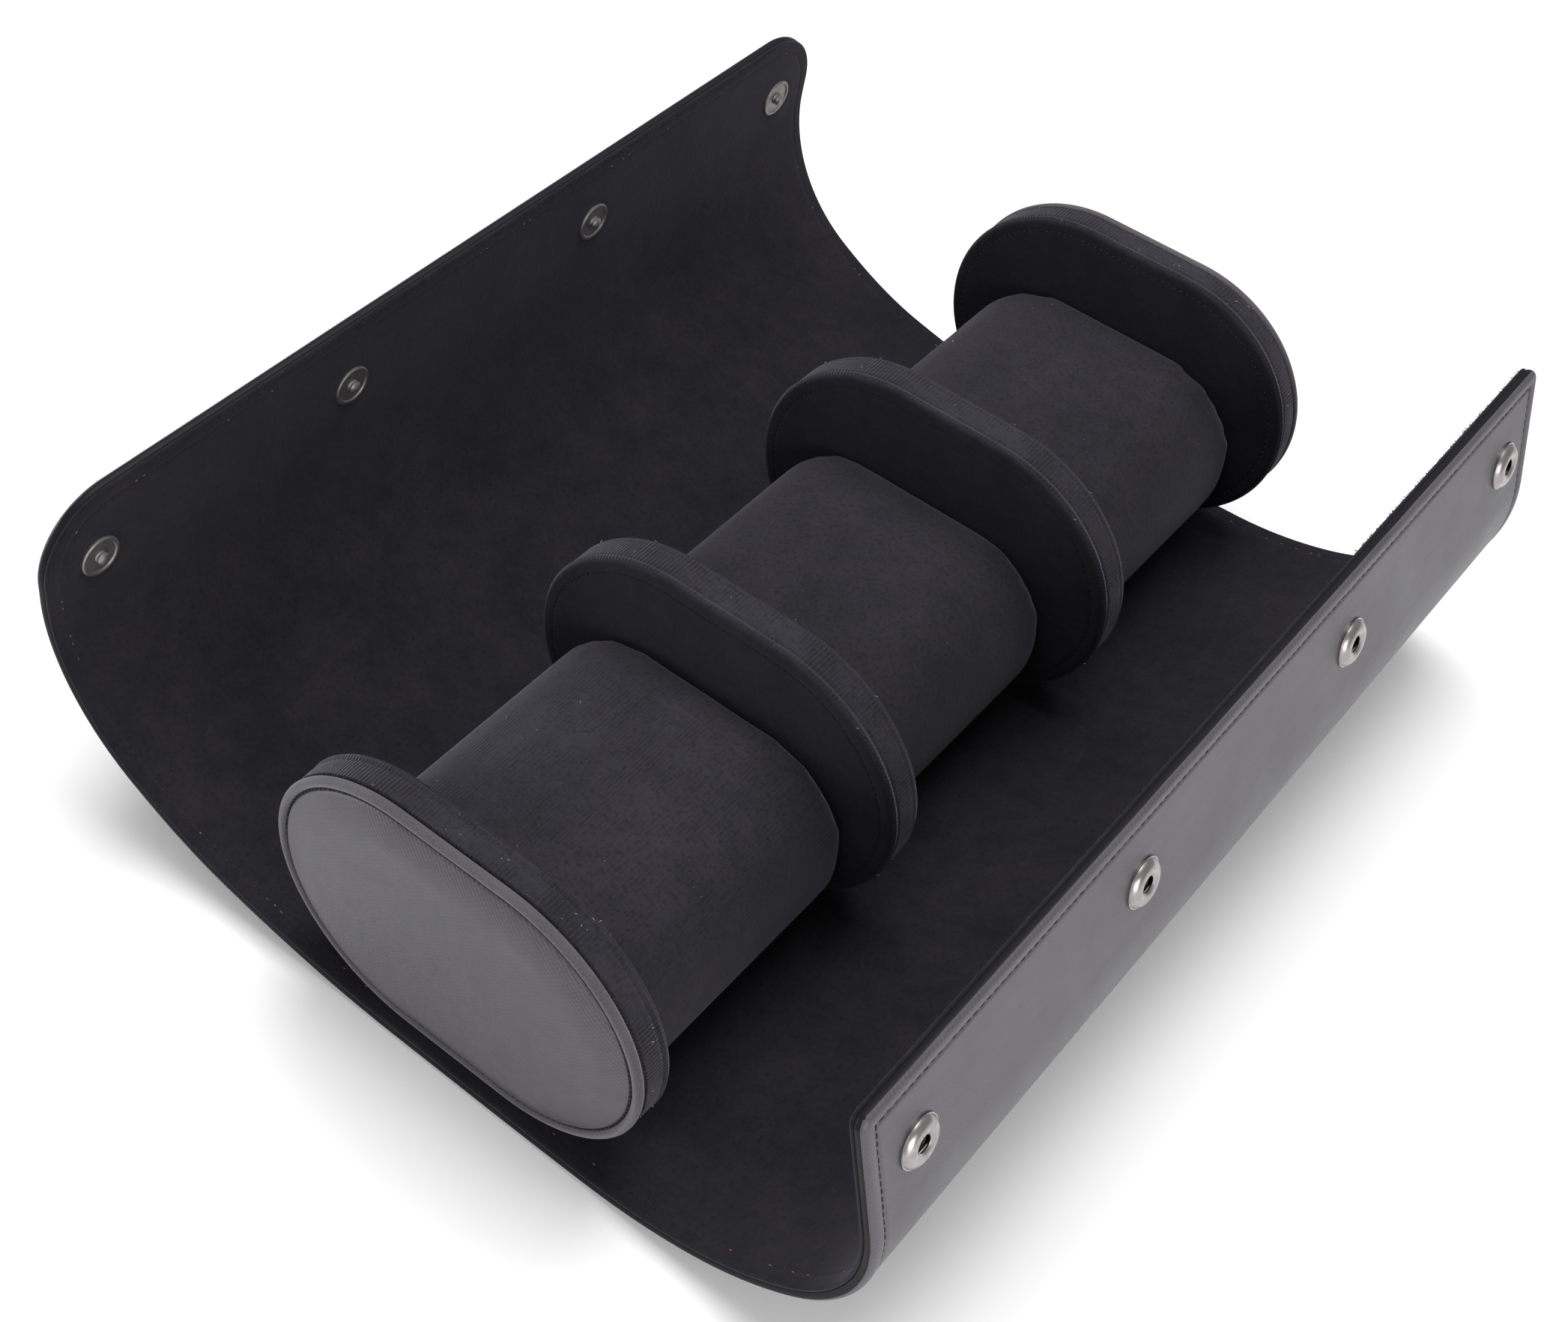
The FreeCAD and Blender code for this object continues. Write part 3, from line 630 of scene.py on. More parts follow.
def snap_ring(span, s, y):
    """A low swelling round each snap's flange, where it presses the sheet."""
    if not is_flap(span):
        return np.zeros_like(s)
    centre = span.length - SNAP_TO_EDGE[span.name.split("_")[0]]
    reach = np.stack([np.hypot(s - centre, y - snap) for snap in SNAP_YS]).min(0)
    return ridge(reach, 7.6 * MM, 1.3 * MM)


def drift(span, s, y):
    """Slow waves of a glued sheet, in phase from span to span."""
    u, v = (span.side * (span.start + s)) / (23 * MM), y / (31 * MM)
    return np.sin(u + 0.8 * np.sin(v)) * np.sin(v * 1.3 + 0.6 * np.sin(u * 0.7)) * 0.5


def cover_layer(span):
    """Leather cover: a round edge, coloured as edge paint and painted shade, puffed out to the stitching,
    and a pocket for the board inside.

    The cut's places on the edge and the inside are moved by a metre, which tells them from the grain side:
    there the leather gives painted shade and edge paint, and a painted highlight on the arris beside them.
    """
    s, y = grid_on(span, 0.0, 2.4 * MM, 0.4 * MM)
    d = edge_distance(span, s, y)
    middle, half = (SHEET_LOW + BOARD_HIGH) / 2, (BOARD_HIGH - SHEET_LOW) / 2
    inset, groove = sizes().stitch_inset, sizes().stitch_groove
    puff = 0.22 * MM * np.sin(math.pi * np.clip(d / inset, 0, 1)) ** 2
    low = middle - half * rounded(d, half) - puff + groove * ridge(d, inset, 0.42 * MM)
    low = low - 0.12 * MM * snap_ring(span, s, y) - 0.08 * MM * drift(span, s, y) * ease(0, 8 * MM, d)
    high = middle + half * rounded(d, 0.5 * MM)
    high = high + (BOARD_LOW - high) * ease(EDGE_LIP - 0.1 * MM, EDGE_LIP + 0.1 * MM, d)
    # the moved cut places mark the edge for its painted shade and edge paint, and the arris for its painted
    # highlight
    cut = np.stack([span.start + s, y + (d < 0.1 * MM)], -1)
    return slab(span.lay(s, y, low), span.lay(s, y, high), cut, np.stack([span.start + s, y + 1.0], -1))


def lining_layer(span):
    """Suede lining: glued to the cover's very edge, softly rounded over it and barely drawn down at the
    stitching."""
    inset = LINING_INSET
    s, y = grid_on(span, inset, 2.4 * MM, 0.4 * MM)
    d = edge_distance(span, s, y) - inset
    middle, half = (BOARD_HIGH + SHEET_HIGH) / 2, (SHEET_HIGH - BOARD_HIGH) / 2
    line = sizes().stitch_inset - inset
    slope = 0.12 * MM * ease(0, 4 * MM, d)
    high = middle + half * rounded(d, 0.7 * MM) + slope - LINING_GROOVE * ridge(d, line, 0.5 * MM)
    high = (high + 0.1 * MM * snap_ring(span, s, y)
            + 0.12 * MM * drift(span, s + 9 * MM, y) * ease(0, 8 * MM, d))
    low = middle - half * rounded(d, 0.3 * MM)
    cut = np.stack([span.start + s, y], -1)
    return slab(span.lay(s, y, low), span.lay(s, y, high), cut)


def board_layer(span):
    """Stiffener board: fills the cover's pocket with a hair of room."""
    inset, room = EDGE_LIP + 0.2 * MM, 0.03 * MM
    s, y = grid_on(span, inset, 6.0 * MM, 3.0 * MM)
    d = edge_distance(span, s, y) - inset
    middle, half = (BOARD_LOW + BOARD_HIGH) / 2, (BOARD_HIGH - BOARD_LOW) / 2 - room
    thick = half * rounded(d, 0.4 * MM)
    cut = np.stack([span.start + s, y], -1)
    return slab(span.lay(s, y, middle - thick), span.lay(s, y, middle + thick), cut)


def hold(piece, span):
    """Rides the piece on the span's body; where the span joins two bodies, bakes its place into its mesh
    and rides it on neither.
    """
    if len(span.bodies) == 1:
        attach(piece, span.bodies[0])
    else:
        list(span.ends())
        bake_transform(piece)


def replaced_node(span, layer):
    """The CAD node that a span's layer stands for: that of the body that the span ends on."""
    panel = "base" if span.name == "base" else span.bodies[-1]
    return "%s_%s" % (panel, layer)


# ---- stitching ----------------------------------------------------------------------------------


def stitch_shape(centres, along, outward, stitch_length, radius, tones, sides=6):
    """Short round bars that dip at both ends: rings of points along each stitch's own line."""
    station = np.array([-1.0, -0.72, 0.0, 0.72, 1.0])
    girth = np.array([0.0, 0.85, 1.0, 0.85, 0.0])
    turn = np.arange(sides) * 2 * math.pi / sides
    a = (station * stitch_length / 2)[:, None] + 0 * turn
    b = radius * girth[:, None] * np.cos(turn)
    c = radius * girth[:, None] * np.sin(turn) - (1.6 * radius * station ** 4)[:, None]
    across = np.cross(outward, along)
    points = (centres[:, None, None] + a[None, ..., None] * along[:, None, None]
              + b[None, ..., None] * across[:, None, None] + c[None, ..., None] * outward[:, None, None])
    corners = quads(5, sides, wrap_columns=True)
    faces = corners[..., 0] * sides + corners[..., 1] % sides
    faces = faces[None] + 5 * sides * np.arange(len(centres))[:, None, None]
    run = np.broadcast_to((station * stitch_length / 2)[corners[..., 0]], (len(centres), len(corners), 4))
    tone = np.broadcast_to(tones[:, None, None], run.shape)
    return points.reshape(-1, 3), faces.reshape(-1, 4), np.stack([run, tone], -1).reshape(-1, 4, 2)


def unit(vectors):
    return vectors / np.linalg.norm(vectors, axis=-1, keepdims=True)


def fibres(roots, normals, longest, thickness, lean, seed):
    """Tapered three-sided fibres that lie or stand at their roots: each one's direction is the surface's
    normal times 1 - lean plus a random direction times lean."""
    draw = np.random.default_rng(seed)
    loose = unit(draw.normal(size=roots.shape))
    along = unit((1 - lean) * normals + lean * loose)
    outward = unit(np.cross(along, unit(draw.normal(size=roots.shape))))
    lengths = longest * (0.45 + 0.55 * draw.random(len(roots)))
    parts = []
    for share in (0.5, 0.75, 1.0):
        chosen = np.abs(lengths / longest - share) <= 0.13
        size = share * longest
        parts.append(stitch_shape(roots[chosen] + 0.35 * size * along[chosen], along[chosen],
                                  outward[chosen], size,
                                  thickness, draw.random(chosen.sum()), sides=3))
    return joined(*parts)


def wrap_stitch_places(span):
    """Centres and directions on the flat cut of a span's row of stitches, an inset from its free edge."""
    inset, pitch = sizes().stitch_inset, sizes().stitch_pitch
    half = HALF_WIDTH - inset
    if not is_flap(span):
        first = math.ceil(span.start / pitch) * pitch - span.start
        s = np.arange(first, span.length, pitch)
        rows = [(s, np.full_like(s, sign * half), np.ones_like(s), np.zeros_like(s)) for sign in (-1, 1)]
        return [np.concatenate(x) for x in zip(*rows)]
    radius = max(corner_radius(span) - inset, 1.0 * MM)
    end = span.length - inset
    turn = np.linspace(0, math.pi / 2, 40)
    corner = np.stack([end - radius + radius * np.sin(turn), half - radius + radius * np.cos(turn)], -1)
    side = np.stack([np.linspace(0, end - radius, 200), np.full(200, half)], -1)[:-1]
    top = np.stack([np.full(200, end), np.linspace(half - radius, 0, 200)], -1)[1:]
    line = np.concatenate([side, corner, top])
    line = np.concatenate([line, (line * [1, -1])[-2::-1]])
    run = np.concatenate([[0], np.cumsum(np.hypot(*np.diff(line, axis=0).T))])
    first = math.ceil(span.start / pitch) * pitch - span.start
    at = np.arange(first, run[-1], pitch)
    s, y = (np.interp(at, run, line[:, k]) for k in (0, 1))
    step = [np.interp(at + 0.1 * MM, run, line[:, k]) - np.interp(at - 0.1 * MM, run, line[:, k])
            for k in (0, 1)]
    size = np.hypot(*step)
    return [s, y, step[0] / size, step[1] / size]


def wrap_stitches(span, on_lining, seed):
    """One face's stitches of a span, laid in the groove of the cover or of the lining."""
    s, y, ds, dy = wrap_stitch_places(span)
    draw = np.random.default_rng(seed)
    tones = draw.random(len(s))
    stray = draw.normal(size=len(s)) * 0.07 * MM
    s, y = s - dy * stray, y + ds * stray
    sign = 1 if on_lining else -1
    radius = sizes().thread_radius * (0.6 if on_lining else 1.0)
    level = SHEET_HIGH + 0.12 * MM - LINING_GROOVE if on_lining else SHEET_LOW + sizes().stitch_groove
    h = np.full_like(s, level + sign * (0.0 if on_lining else 0.35) * radius)
    centre = span.lay(s, y, h)
    step = 0.2 * MM
    along = unit(span.lay(s + ds * step, y + dy * step, h) - span.lay(s - ds * step, y - dy * step, h))
    outward = (span.lay(s, y, h + step) - centre) * sign / step
    stitch_length = sizes().stitch_length * (0.45 if on_lining else 1.0)
    return stitch_shape(centre, along, outward, stitch_length, radius, tones)


def frayed_edge(span, spacing, seed):
    """Suede fibres that stand out along the free tip of a flap's lining."""
    draw = np.random.default_rng(seed)
    half = HALF_WIDTH - corner_radius(span)
    y = np.linspace(-half, half, int(2 * half / spacing))
    y = y + draw.normal(size=len(y)) * 0.3 * spacing
    s = np.full_like(y, span.length - LINING_INSET - 0.35 * MM) - draw.random(len(y)) * 0.9 * MM
    h = np.full_like(y, SHEET_HIGH - 0.1 * MM)
    roots = span.lay(s, y, h)
    tipwards = unit(span.lay(s + MM, y, h) - roots)
    upwards = unit(span.lay(s, y, h + MM) - roots)
    return fibres(roots, unit(0.6 * tipwards + 0.8 * upwards), 1.1 * MM, 0.07 * MM, 0.55, seed)


# ---- discs -------------------------------------------------------------------------------------


def outline(step=1.2 * MM):
    """The stadium round which every disc piece is swept: each point's centre, outward direction and run."""
    straight, bend = int(2 * DISC_FLAT / step) + 1, int(math.pi * DISC_R / step) + 1
    bend += bend % 2
    x, angle = [], []
    for side, start in ((1, -90), (-1, 90)):
        x += [np.full(bend, side * DISC_FLAT),
              np.linspace(side, -side, straight, endpoint=False) * DISC_FLAT]
        angle += [np.radians(np.linspace(start, start + 180, bend, endpoint=False)),
                  np.full(straight, math.radians(start + 180))]
    x, angle = np.concatenate(x), np.concatenate(angle)
    direction = np.stack([np.cos(angle), np.sin(angle)], -1)
    rim = np.stack([x, 0 * x], -1) + DISC_R * direction
    steps = np.hypot(*(np.roll(rim, -1, axis=0) - rim).T)
    return x, direction, np.concatenate([[0], np.cumsum(steps)])


def swept(rho, y, closed, flat_cut):
    """Grid of a profile carried round the outline: rho out from the centre line, y along the roll.

    A closed profile wraps into a ring; an open one starts and ends on the centre line. The cut is the
    plane of the disc, or the run round the rim by the run along the profile.
    """
    x, direction, run = outline()
    rho, y = (np.broadcast_to(v, (len(x), np.shape(rho)[-1])) for v in (rho, y))
    points = np.stack([x[:, None] + rho * direction[:, :1], y, DISC_Z + rho * direction[:, 1:]], -1)
    closed_points = np.concatenate([points, points[:1]])
    if flat_cut:
        cut = closed_points[..., [0, 2]]
    else:
        steps = np.hypot(np.diff(rho[0]), np.diff(y[0]))
        width = np.concatenate([[0], np.cumsum(steps)])
        cut = np.stack(np.meshgrid(run, width, indexing="ij"), -1)
    if closed:
        cut = np.concatenate([cut, cut[:, -1:] + (0 if flat_cut else (0, 0.5 * MM))], axis=1)
    return surface(points, cut, wrap_rows=True, wrap_columns=closed)


def loop_profile(outer_r, inner_r, y_low, y_high, rise, corner, count=44):
    """Closed section of a band: outer side with a rise added, round corners, and a plain inner side."""
    turn = np.linspace(0, math.pi / 2, 6)
    across = np.linspace(y_low + corner, y_high - corner, count)[1:-1]
    outer = outer_r + rise(across)
    low = (outer_r - corner + corner * np.sin(turn), y_low + corner - corner * np.cos(turn))
    high = (outer_r - corner + corner * np.cos(turn), y_high - corner + corner * np.sin(turn))
    inner = np.linspace(y_high, y_low, 6)
    rho = np.concatenate([low[0], outer, high[0], np.full(6, inner_r)])
    return rho, np.concatenate([low[1], across, high[1], inner])


def rim_band(y_low, y_high, low_fold, high_fold):
    """Suede band round a rim: barely crowned, with a fold of its own height rolled along each edge and a
    crease inside each fold."""
    def rise(y):
        near, far = y - y_low, y_high - y
        folds = low_fold * ridge(near, 0.9 * MM, 0.55 * MM) + high_fold * ridge(far, 0.9 * MM, 0.55 * MM)
        creases = 0.5 * low_fold * ridge(near, 2 * MM, 0.3 * MM) + 0.5 * high_fold * ridge(far, 2 * MM,
                                                                                           0.3 * MM)
        return folds - creases + 0.12 * MM * ease(0, 3 * MM, np.minimum(near, far))
    rho, y = loop_profile(DISC_R - 0.2 * MM, DISC_R - BAND_T, y_low, y_high, rise, 0.5 * MM)
    return swept(rho, y, True, False)


def edge_roll(y_middle, radius):
    """Rolled leather edge of an end disc: a round bead, a little flatter across than it is deep."""
    turn = np.linspace(0, 2 * math.pi, 25)[:-1]
    rho = DISC_R - radius + radius * 1.03 * np.sin(turn)
    return swept(rho, y_middle + radius * 1.05 * np.cos(turn), True, False)


def face_sheet(y_back, out, thickness, edge_r, edge_round, crown, reach, groove_at=0.0, groove=0.0,
               back_crown=0.0):
    """A disc's face: crowned outwards from its edge over a reach, with a stitched groove, and closed
    behind.

    out is the way that it faces along Y, y_back the plane behind it, and edge_round how far in its edge
    rounds over.
    """
    steps = np.concatenate([np.linspace(0, 0.55, 14)[:-1], 1 - 0.45 * (1 - np.linspace(0, 1, 56)) ** 1.15])
    rho = edge_r * steps
    d = edge_r - rho
    swell = crown * (1 - (1 - np.clip(d / reach, 0, 1)) ** 2)
    front = thickness * rounded(d, edge_round) + swell - groove * ridge(d, groove_at, 0.4 * MM)
    back = back_crown * (1 - (1 - np.clip(d / reach, 0, 1)) ** 2)
    rho = np.concatenate([rho, rho[-2::-1]])
    y = y_back + out * np.concatenate([front, back[-2::-1]])
    return swept(rho, y, False, True)


def on_rim(at, rise, y):
    """Points at a run round the rim, a rise above it, and the way outwards there."""
    x, direction, run = outline()
    x, direction = np.append(x, x[0]), np.concatenate([direction, direction[:1]])
    way = unit(np.stack([np.interp(at, run, direction[:, k]) for k in (0, 1)], -1))
    middle, radius = np.interp(at, run, x), DISC_R + rise
    points = np.stack([middle + radius * way[:, 0], y + 0 * middle, DISC_Z + radius * way[:, 1]], -1)
    return points, np.stack([way[:, 0], 0 * middle, way[:, 1]], -1)


def rim_stitches(y, seed):
    """A row of small stitches round a rim band."""
    centres, outwards = on_rim(np.arange(0, outline()[2][-1], 1.9 * MM), -0.15 * MM, y)
    tones = np.random.default_rng(seed).random(len(centres))
    return stitch_shape(centres, np.cross(outwards, [0.0, 1.0, 0.0]), outwards, 1.3 * MM, 0.14 * MM, tones)


def rim_lint(y_low, y_high, count, seed):
    """Short cotton fibres that lie about on a rim."""
    draw = np.random.default_rng(seed)
    at, y = draw.random(count) * outline()[2][-1], y_low + (y_high - y_low) * draw.random(count)
    roots, outwards = on_rim(at, 0.0, y)
    return fibres(roots, outwards, 1.0 * MM, 0.07 * MM, 0.96, seed)


def rim_fray(y, out, count, seed):
    """Suede fibres that stand out sideways all along one cut edge of a rim band."""
    draw = np.random.default_rng(seed)
    at = np.linspace(0, outline()[2][-1], count, endpoint=False)
    roots, outwards = on_rim(at, -0.3 * MM, y - out * 0.3 * MM * draw.random(count))
    return fibres(roots, unit(0.15 * outwards + [0.0, out, 0.0]), 0.7 * MM, 0.07 * MM, 0.3, seed)


def disc_stitch_places(inset, pitch):
    """Places and directions round a disc's face, an inset from its rim, one stitch pitch apart."""
    radius = DISC_R - inset
    straight, bend = 2 * DISC_FLAT, math.pi * radius
    total = 2 * (straight + bend)
    at = np.linspace(0, total, round(total / pitch), endpoint=False)
    half, place = np.divmod(at, straight + bend)
    angle = np.radians(-90 + 180 * half) + np.clip(place / bend, 0, 1) * math.pi
    sign = 1 - 2 * half
    x = sign * (DISC_FLAT - np.clip(place - bend, 0, None))
    spot = np.stack([x + radius * np.cos(angle), 0 * x, DISC_Z + radius * np.sin(angle)], -1)
    return spot, np.stack([-np.sin(angle), 0 * x, np.cos(angle)], -1)


def disc_stitches(y, out, inset, pitch, stitch_length, radius, seed):
    spot, along = disc_stitch_places(inset, pitch)
    spot[:, 1] = y
    outward = np.broadcast_to([0.0, out, 0.0], spot.shape)
    tones = np.random.default_rng(seed).random(len(spot))
    return stitch_shape(spot, along, outward, stitch_length, radius, tones)


def build_end_disc(name, out):
    """Leather face on its pad, rolled edge, suede band and suede inner face of one end disc."""
    low, high = box(name + "_leather_face")
    outer = low[1] if out < 0 else high[1]
    roll_r = 1.2 * MM
    face_r = DISC_R - 2 * roll_r + 0.35 * MM
    crown = sizes().face_crown
    face_shape = face_sheet(outer - out * 1.25 * MM, out, 0.5 * MM, face_r, 0.5 * MM, crown, 11 * MM,
                            0.6 * MM,
                            0.45 * MM, back_crown=0.9 * crown)
    face = make_piece(name + "_leather_face_skin", face_shape, material("face_leather"))
    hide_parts(name + "_leather_face")
    pad_shape = face_sheet(outer - out * 2 * roll_r, out, 1.7 * MM, face_r - 0.3 * MM, 0.8 * MM,
                           0.85 * crown, 11 * MM)
    pad = make_piece(name + "_pad_foam", pad_shape, material("foam"))
    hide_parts(name + "_pad")
    roll = make_piece(name + "_rolled_edge", edge_roll(outer - out * roll_r, roll_r), material("bead"))
    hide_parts(name + "_edge_roll")
    # behind the rolled edge, under the inner face, along the back
    gap, lap, fold = 0.3 * MM, 0.5 * MM, 0.3 * MM
    near = outer - out * (2 * roll_r + gap)
    if out < 0:
        band_low, band_high = near, box(name + "_rim_band")[1][1] - lap
        rim_shape = rim_band(band_low, band_high, 0.0, fold)
    else:
        band_low, band_high = box(name + "_rim_band")[0][1] + lap, near
        rim_shape = rim_band(band_low, band_high, fold, 0.0)
    back = band_high if out < 0 else band_low
    rim = make_piece(name + "_rim_band_suede", rim_shape, material("band"))
    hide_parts(name + "_rim_band")
    inside = box(name + "_inner_face")
    inner_back = inside[0][1] if out < 0 else inside[1][1]
    inner = make_piece(name + "_inner_face_suede", suede_face(inner_back, -out), material("face"))
    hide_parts(name + "_inner_face")
    seam = disc_stitches(outer - out * 0.66 * MM, out, 2 * roll_r + 0.2 * MM, 1.75 * MM, 1.5 * MM,
                         0.34 * MM, 11)
    holes = disc_stitches(outer - out * 0.14 * MM, out, 1.1 * MM, 1.4 * MM, 0.5 * MM, 0.13 * MM, 13)
    thread = make_piece(name + "_stitching", joined(seam, holes), material("thread"))
    rows = joined(face_stitches(inner_back, -out, 12), rim_stitches(back + out * 2 * MM, 16))
    sewn = make_piece(name + "_inner_stitching", rows, material("disc_thread"))
    fray = make_piece(name + "_frayed_nap", rim_fray(near, out, 1300, 14), material("nap"))
    lint = make_piece(name + "_lint", rim_lint(band_low, band_high, 50, 15), material("lint"))
    return [face, pad, roll, rim, inner, thread, sewn, fray, lint]


def suede_face(y_back, out):
    """Suede face of a disc, which rounds over the edge of its rim band, with its stitched groove."""
    inset = sizes().disc_stitch_inset - 0.2 * MM
    return face_sheet(y_back, out, FACE_T, DISC_R - 0.2 * MM, 1.3 * MM, 0.2 * MM, 9 * MM, inset, 0.14 * MM)


def face_stitches(y_back, out, seed):
    """Small stitches in a suede face's groove."""
    level = y_back + out * (FACE_T + 0.1 * MM)
    return disc_stitches(level, out, sizes().disc_stitch_inset, 1.9 * MM, 0.9 * MM, 0.15 * MM, seed)


def build_divider(name):
    """Suede band and the two suede faces of one divider disc."""
    board = box(name + "_board")
    faces = make_piece(name + "_faces_suede",
                       joined(suede_face(board[0][1], -1), suede_face(board[1][1], 1)),
                       material("face"))
    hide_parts(name + "_faces")
    lap = 0.5 * MM
    band_low, band_high = (corner[1] for corner in box(name + "_rim_band"))
    rim = make_piece(name + "_rim_band_suede",
                     rim_band(band_low + lap, band_high - lap, 0.35 * MM, 0.1 * MM),
                     material("band"))
    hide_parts(name + "_rim_band")
    stitches = joined(face_stitches(board[0][1], -1, 21), face_stitches(board[1][1], 1, 22))
    thread = make_piece(name + "_stitching", stitches, material("thread"))
    lint = make_piece(name + "_lint", rim_lint(band_low, band_high, 22, 23 + len(name)), material("lint"))
    return [faces, rim, thread, lint]


# ---- pillows -----------------------------------------------------------------------------------


def pillow_start(low, high, shrink, corner, end_round):
    """A pillow before it swells: a rounded rectangle along Y whose section draws in at both ends."""
    centre, half = (low + high) / 2, (high - low) / 2 - shrink
    turn = np.linspace(0, math.pi / 2, 9)
    ends = np.concatenate([-half[1] + end_round * (1 - np.cos(turn)),
                           np.linspace(-half[1] + end_round, half[1] - end_round, 14)[1:-1],
                           (half[1] - end_round * (1 - np.cos(turn)))[::-1]])
    drawn = end_round * (1 - rounded(half[1] - np.abs(ends), end_round))
    angle = np.arange(96) * 2 * math.pi / 96
    flat_x, flat_z = half[0] - corner, half[2] - corner
    way = np.stack([np.cos(angle), np.sin(angle)], -1)
    core = np.stack([np.sign(np.round(way[:, 0], 9)) * flat_x, np.sign(np.round(way[:, 1], 9)) * flat_z],
                    -1)
    section = core[None] + (corner - drawn)[:, None, None] * way[None]
    points = np.stack([centre[0] + section[..., 0],
                       np.broadcast_to(centre[1] + ends[:, None], section.shape[:2]),
                       centre[2] + section[..., 1]], -1)
    caps = [np.broadcast_to(points[k].mean(0), points[k].shape)[None] for k in (0, -1)]
    points = np.concatenate([caps[0], points, caps[1]])
    cut = np.zeros((len(points), 97, 2))
    return surface(points, cut, wrap_columns=True)


def swollen(piece, low, high):
    """The piece remeshed, blown up as cloth with air inside, capped, and kept inside its compartment."""
    settings = sizes()
    remesh = piece.modifiers.new("even cloth mesh", "REMESH")
    remesh.mode, remesh.voxel_size = "VOXEL", settings.pillow_voxel
    take_shape(piece)
    start = coordinates(piece.data)
    cloth = piece.modifiers.new("air inside", "CLOTH")
    cloth.settings.quality = 6
    cloth.settings.use_pressure = True
    cloth.settings.uniform_pressure_force = 4.0
    cloth.settings.tension_stiffness = cloth.settings.compression_stiffness = 25.0
    cloth.settings.bending_stiffness = 1.5
    cloth.settings.effector_weights.gravity = 0.0
    for number in range(1, 21):
        bpy.context.scene.frame_set(number)
    take_shape(piece)
    bpy.context.scene.frame_set(1)
    moved = coordinates(piece.data) - start
    size = np.linalg.norm(moved, axis=1)
    moved *= (np.minimum(size, settings.pillow_cap) / np.maximum(size, 1e-9))[:, None]
    settled = start + moved
    settled[:, 1] = np.clip(settled[:, 1], low[1], high[1])
    settled[:, 2] = np.maximum(settled[:, 2], low[2])
    piece.data.vertices.foreach_set("co", settled.astype(np.float32).ravel())
    smooth = piece.modifiers.new("finer cloth", "SUBSURF")
    smooth.levels = smooth.render_levels = 1
    take_shape(piece)


def coordinates(mesh):
    found = np.zeros(3 * len(mesh.vertices), np.float32)
    mesh.vertices.foreach_get("co", found)
    return found.reshape(-1, 3).astype(float)


def take_shape(piece):
    """Applies the piece's modifiers to its mesh."""
    ready = piece.evaluated_get(bpy.context.evaluated_depsgraph_get())
    shaped = bpy.data.meshes.new_from_object(ready)
    piece.modifiers.clear()
    old, piece.data = piece.data, shaped
    bpy.data.meshes.remove(old)


def unroll(mesh, low, high, corner):
    """Writes each corner's place on the flat cut: the run round a rounded rectangle by its place along
    Y."""
    centre, half = (low + high) / 2, (high - low) / 2
    way = np.radians(np.arange(-180, 181, 2.0))
    way = np.stack([np.sin(way), np.cos(way)], -1)
    outline_points = np.sign(np.round(way, 9)) * (half[[0, 2]] - corner) + corner * way
    run = np.concatenate([[0], np.cumsum(np.hypot(*np.diff(outline_points, axis=0).T))])
    bearing = np.arctan2(outline_points[:, 0], outline_points[:, 1])
    bearing[0], bearing[-1] = -math.pi, math.pi
    at = np.zeros(len(mesh.loops), np.int32)
    mesh.loops.foreach_get("vertex_index", at)
    points = coordinates(mesh)[at]
    u = np.interp(np.arctan2(points[:, 0] - centre[0], points[:, 2] - centre[2]), bearing, run).reshape(-1,
                                                                                                        4)
    u = np.where(u.max(1, keepdims=True) - u > run[-1] / 2, u + run[-1], u)
    layer = mesh.uv_layers.get(CUT) or mesh.uv_layers.new(name=CUT)
    layer.uv.foreach_set("vector", np.stack([u.ravel(), points[:, 1]], -1).astype(np.float32).ravel())


def pillow_lint(mesh, count, seed):
    """Short cotton fibres that lie on the upper side of a pillow."""
    normals = np.zeros(3 * len(mesh.vertices), np.float32)
    mesh.vertex_normals.foreach_get("vector", normals)
    normals = normals.reshape(-1, 3).astype(float)
    upper = np.flatnonzero(normals[:, 2] > 0.1)
    chosen = np.random.default_rng(seed).choice(upper, count, replace=False)
    return fibres(coordinates(mesh)[chosen] + 0.05 * MM * normals[chosen], normals[chosen], 1.0 * MM,
                  0.07 * MM, 0.93,
                  seed)


def build_pillow(name):
    """A pillow's swollen suede cover with sewn ends, round its foam core."""
    low, high = box(name + "_end_panels")
    across, wider, taller = PILLOWS[name]
    low, high = low + [across - wider, 0, 0], high + [across + wider, 0, taller]
    kind = "pillow_1" if name == "pillow_1" else "pillow"
    cover = make_piece(name + "_suede_cover", pillow_start(low, high, 0.3 * MM, PILLOW_CORNER, 2.5 * MM),
                       material(kind),
                       sharp=180)
    swollen(cover, low, high)
    cover.data.shade_smooth()
    unroll(cover.data, low, high, PILLOW_CORNER)
    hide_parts(name + "_sleeve", name + "_end_panels")
    core_low, core_high = box(name + "_core")
    core = make_piece(name + "_foam_core", pillow_start(core_low, core_high, 4 * MM, 18 * MM, 8 * MM),
                      material("foam"))
    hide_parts(name + "_core")
    lint = make_piece(name + "_lint", pillow_lint(cover.data, 14 if kind == "pillow_1" else 6, 31),
                      material("lint"))
    return [cover, core, lint]


# ---- operators -----------------------------------------------------------------------------------


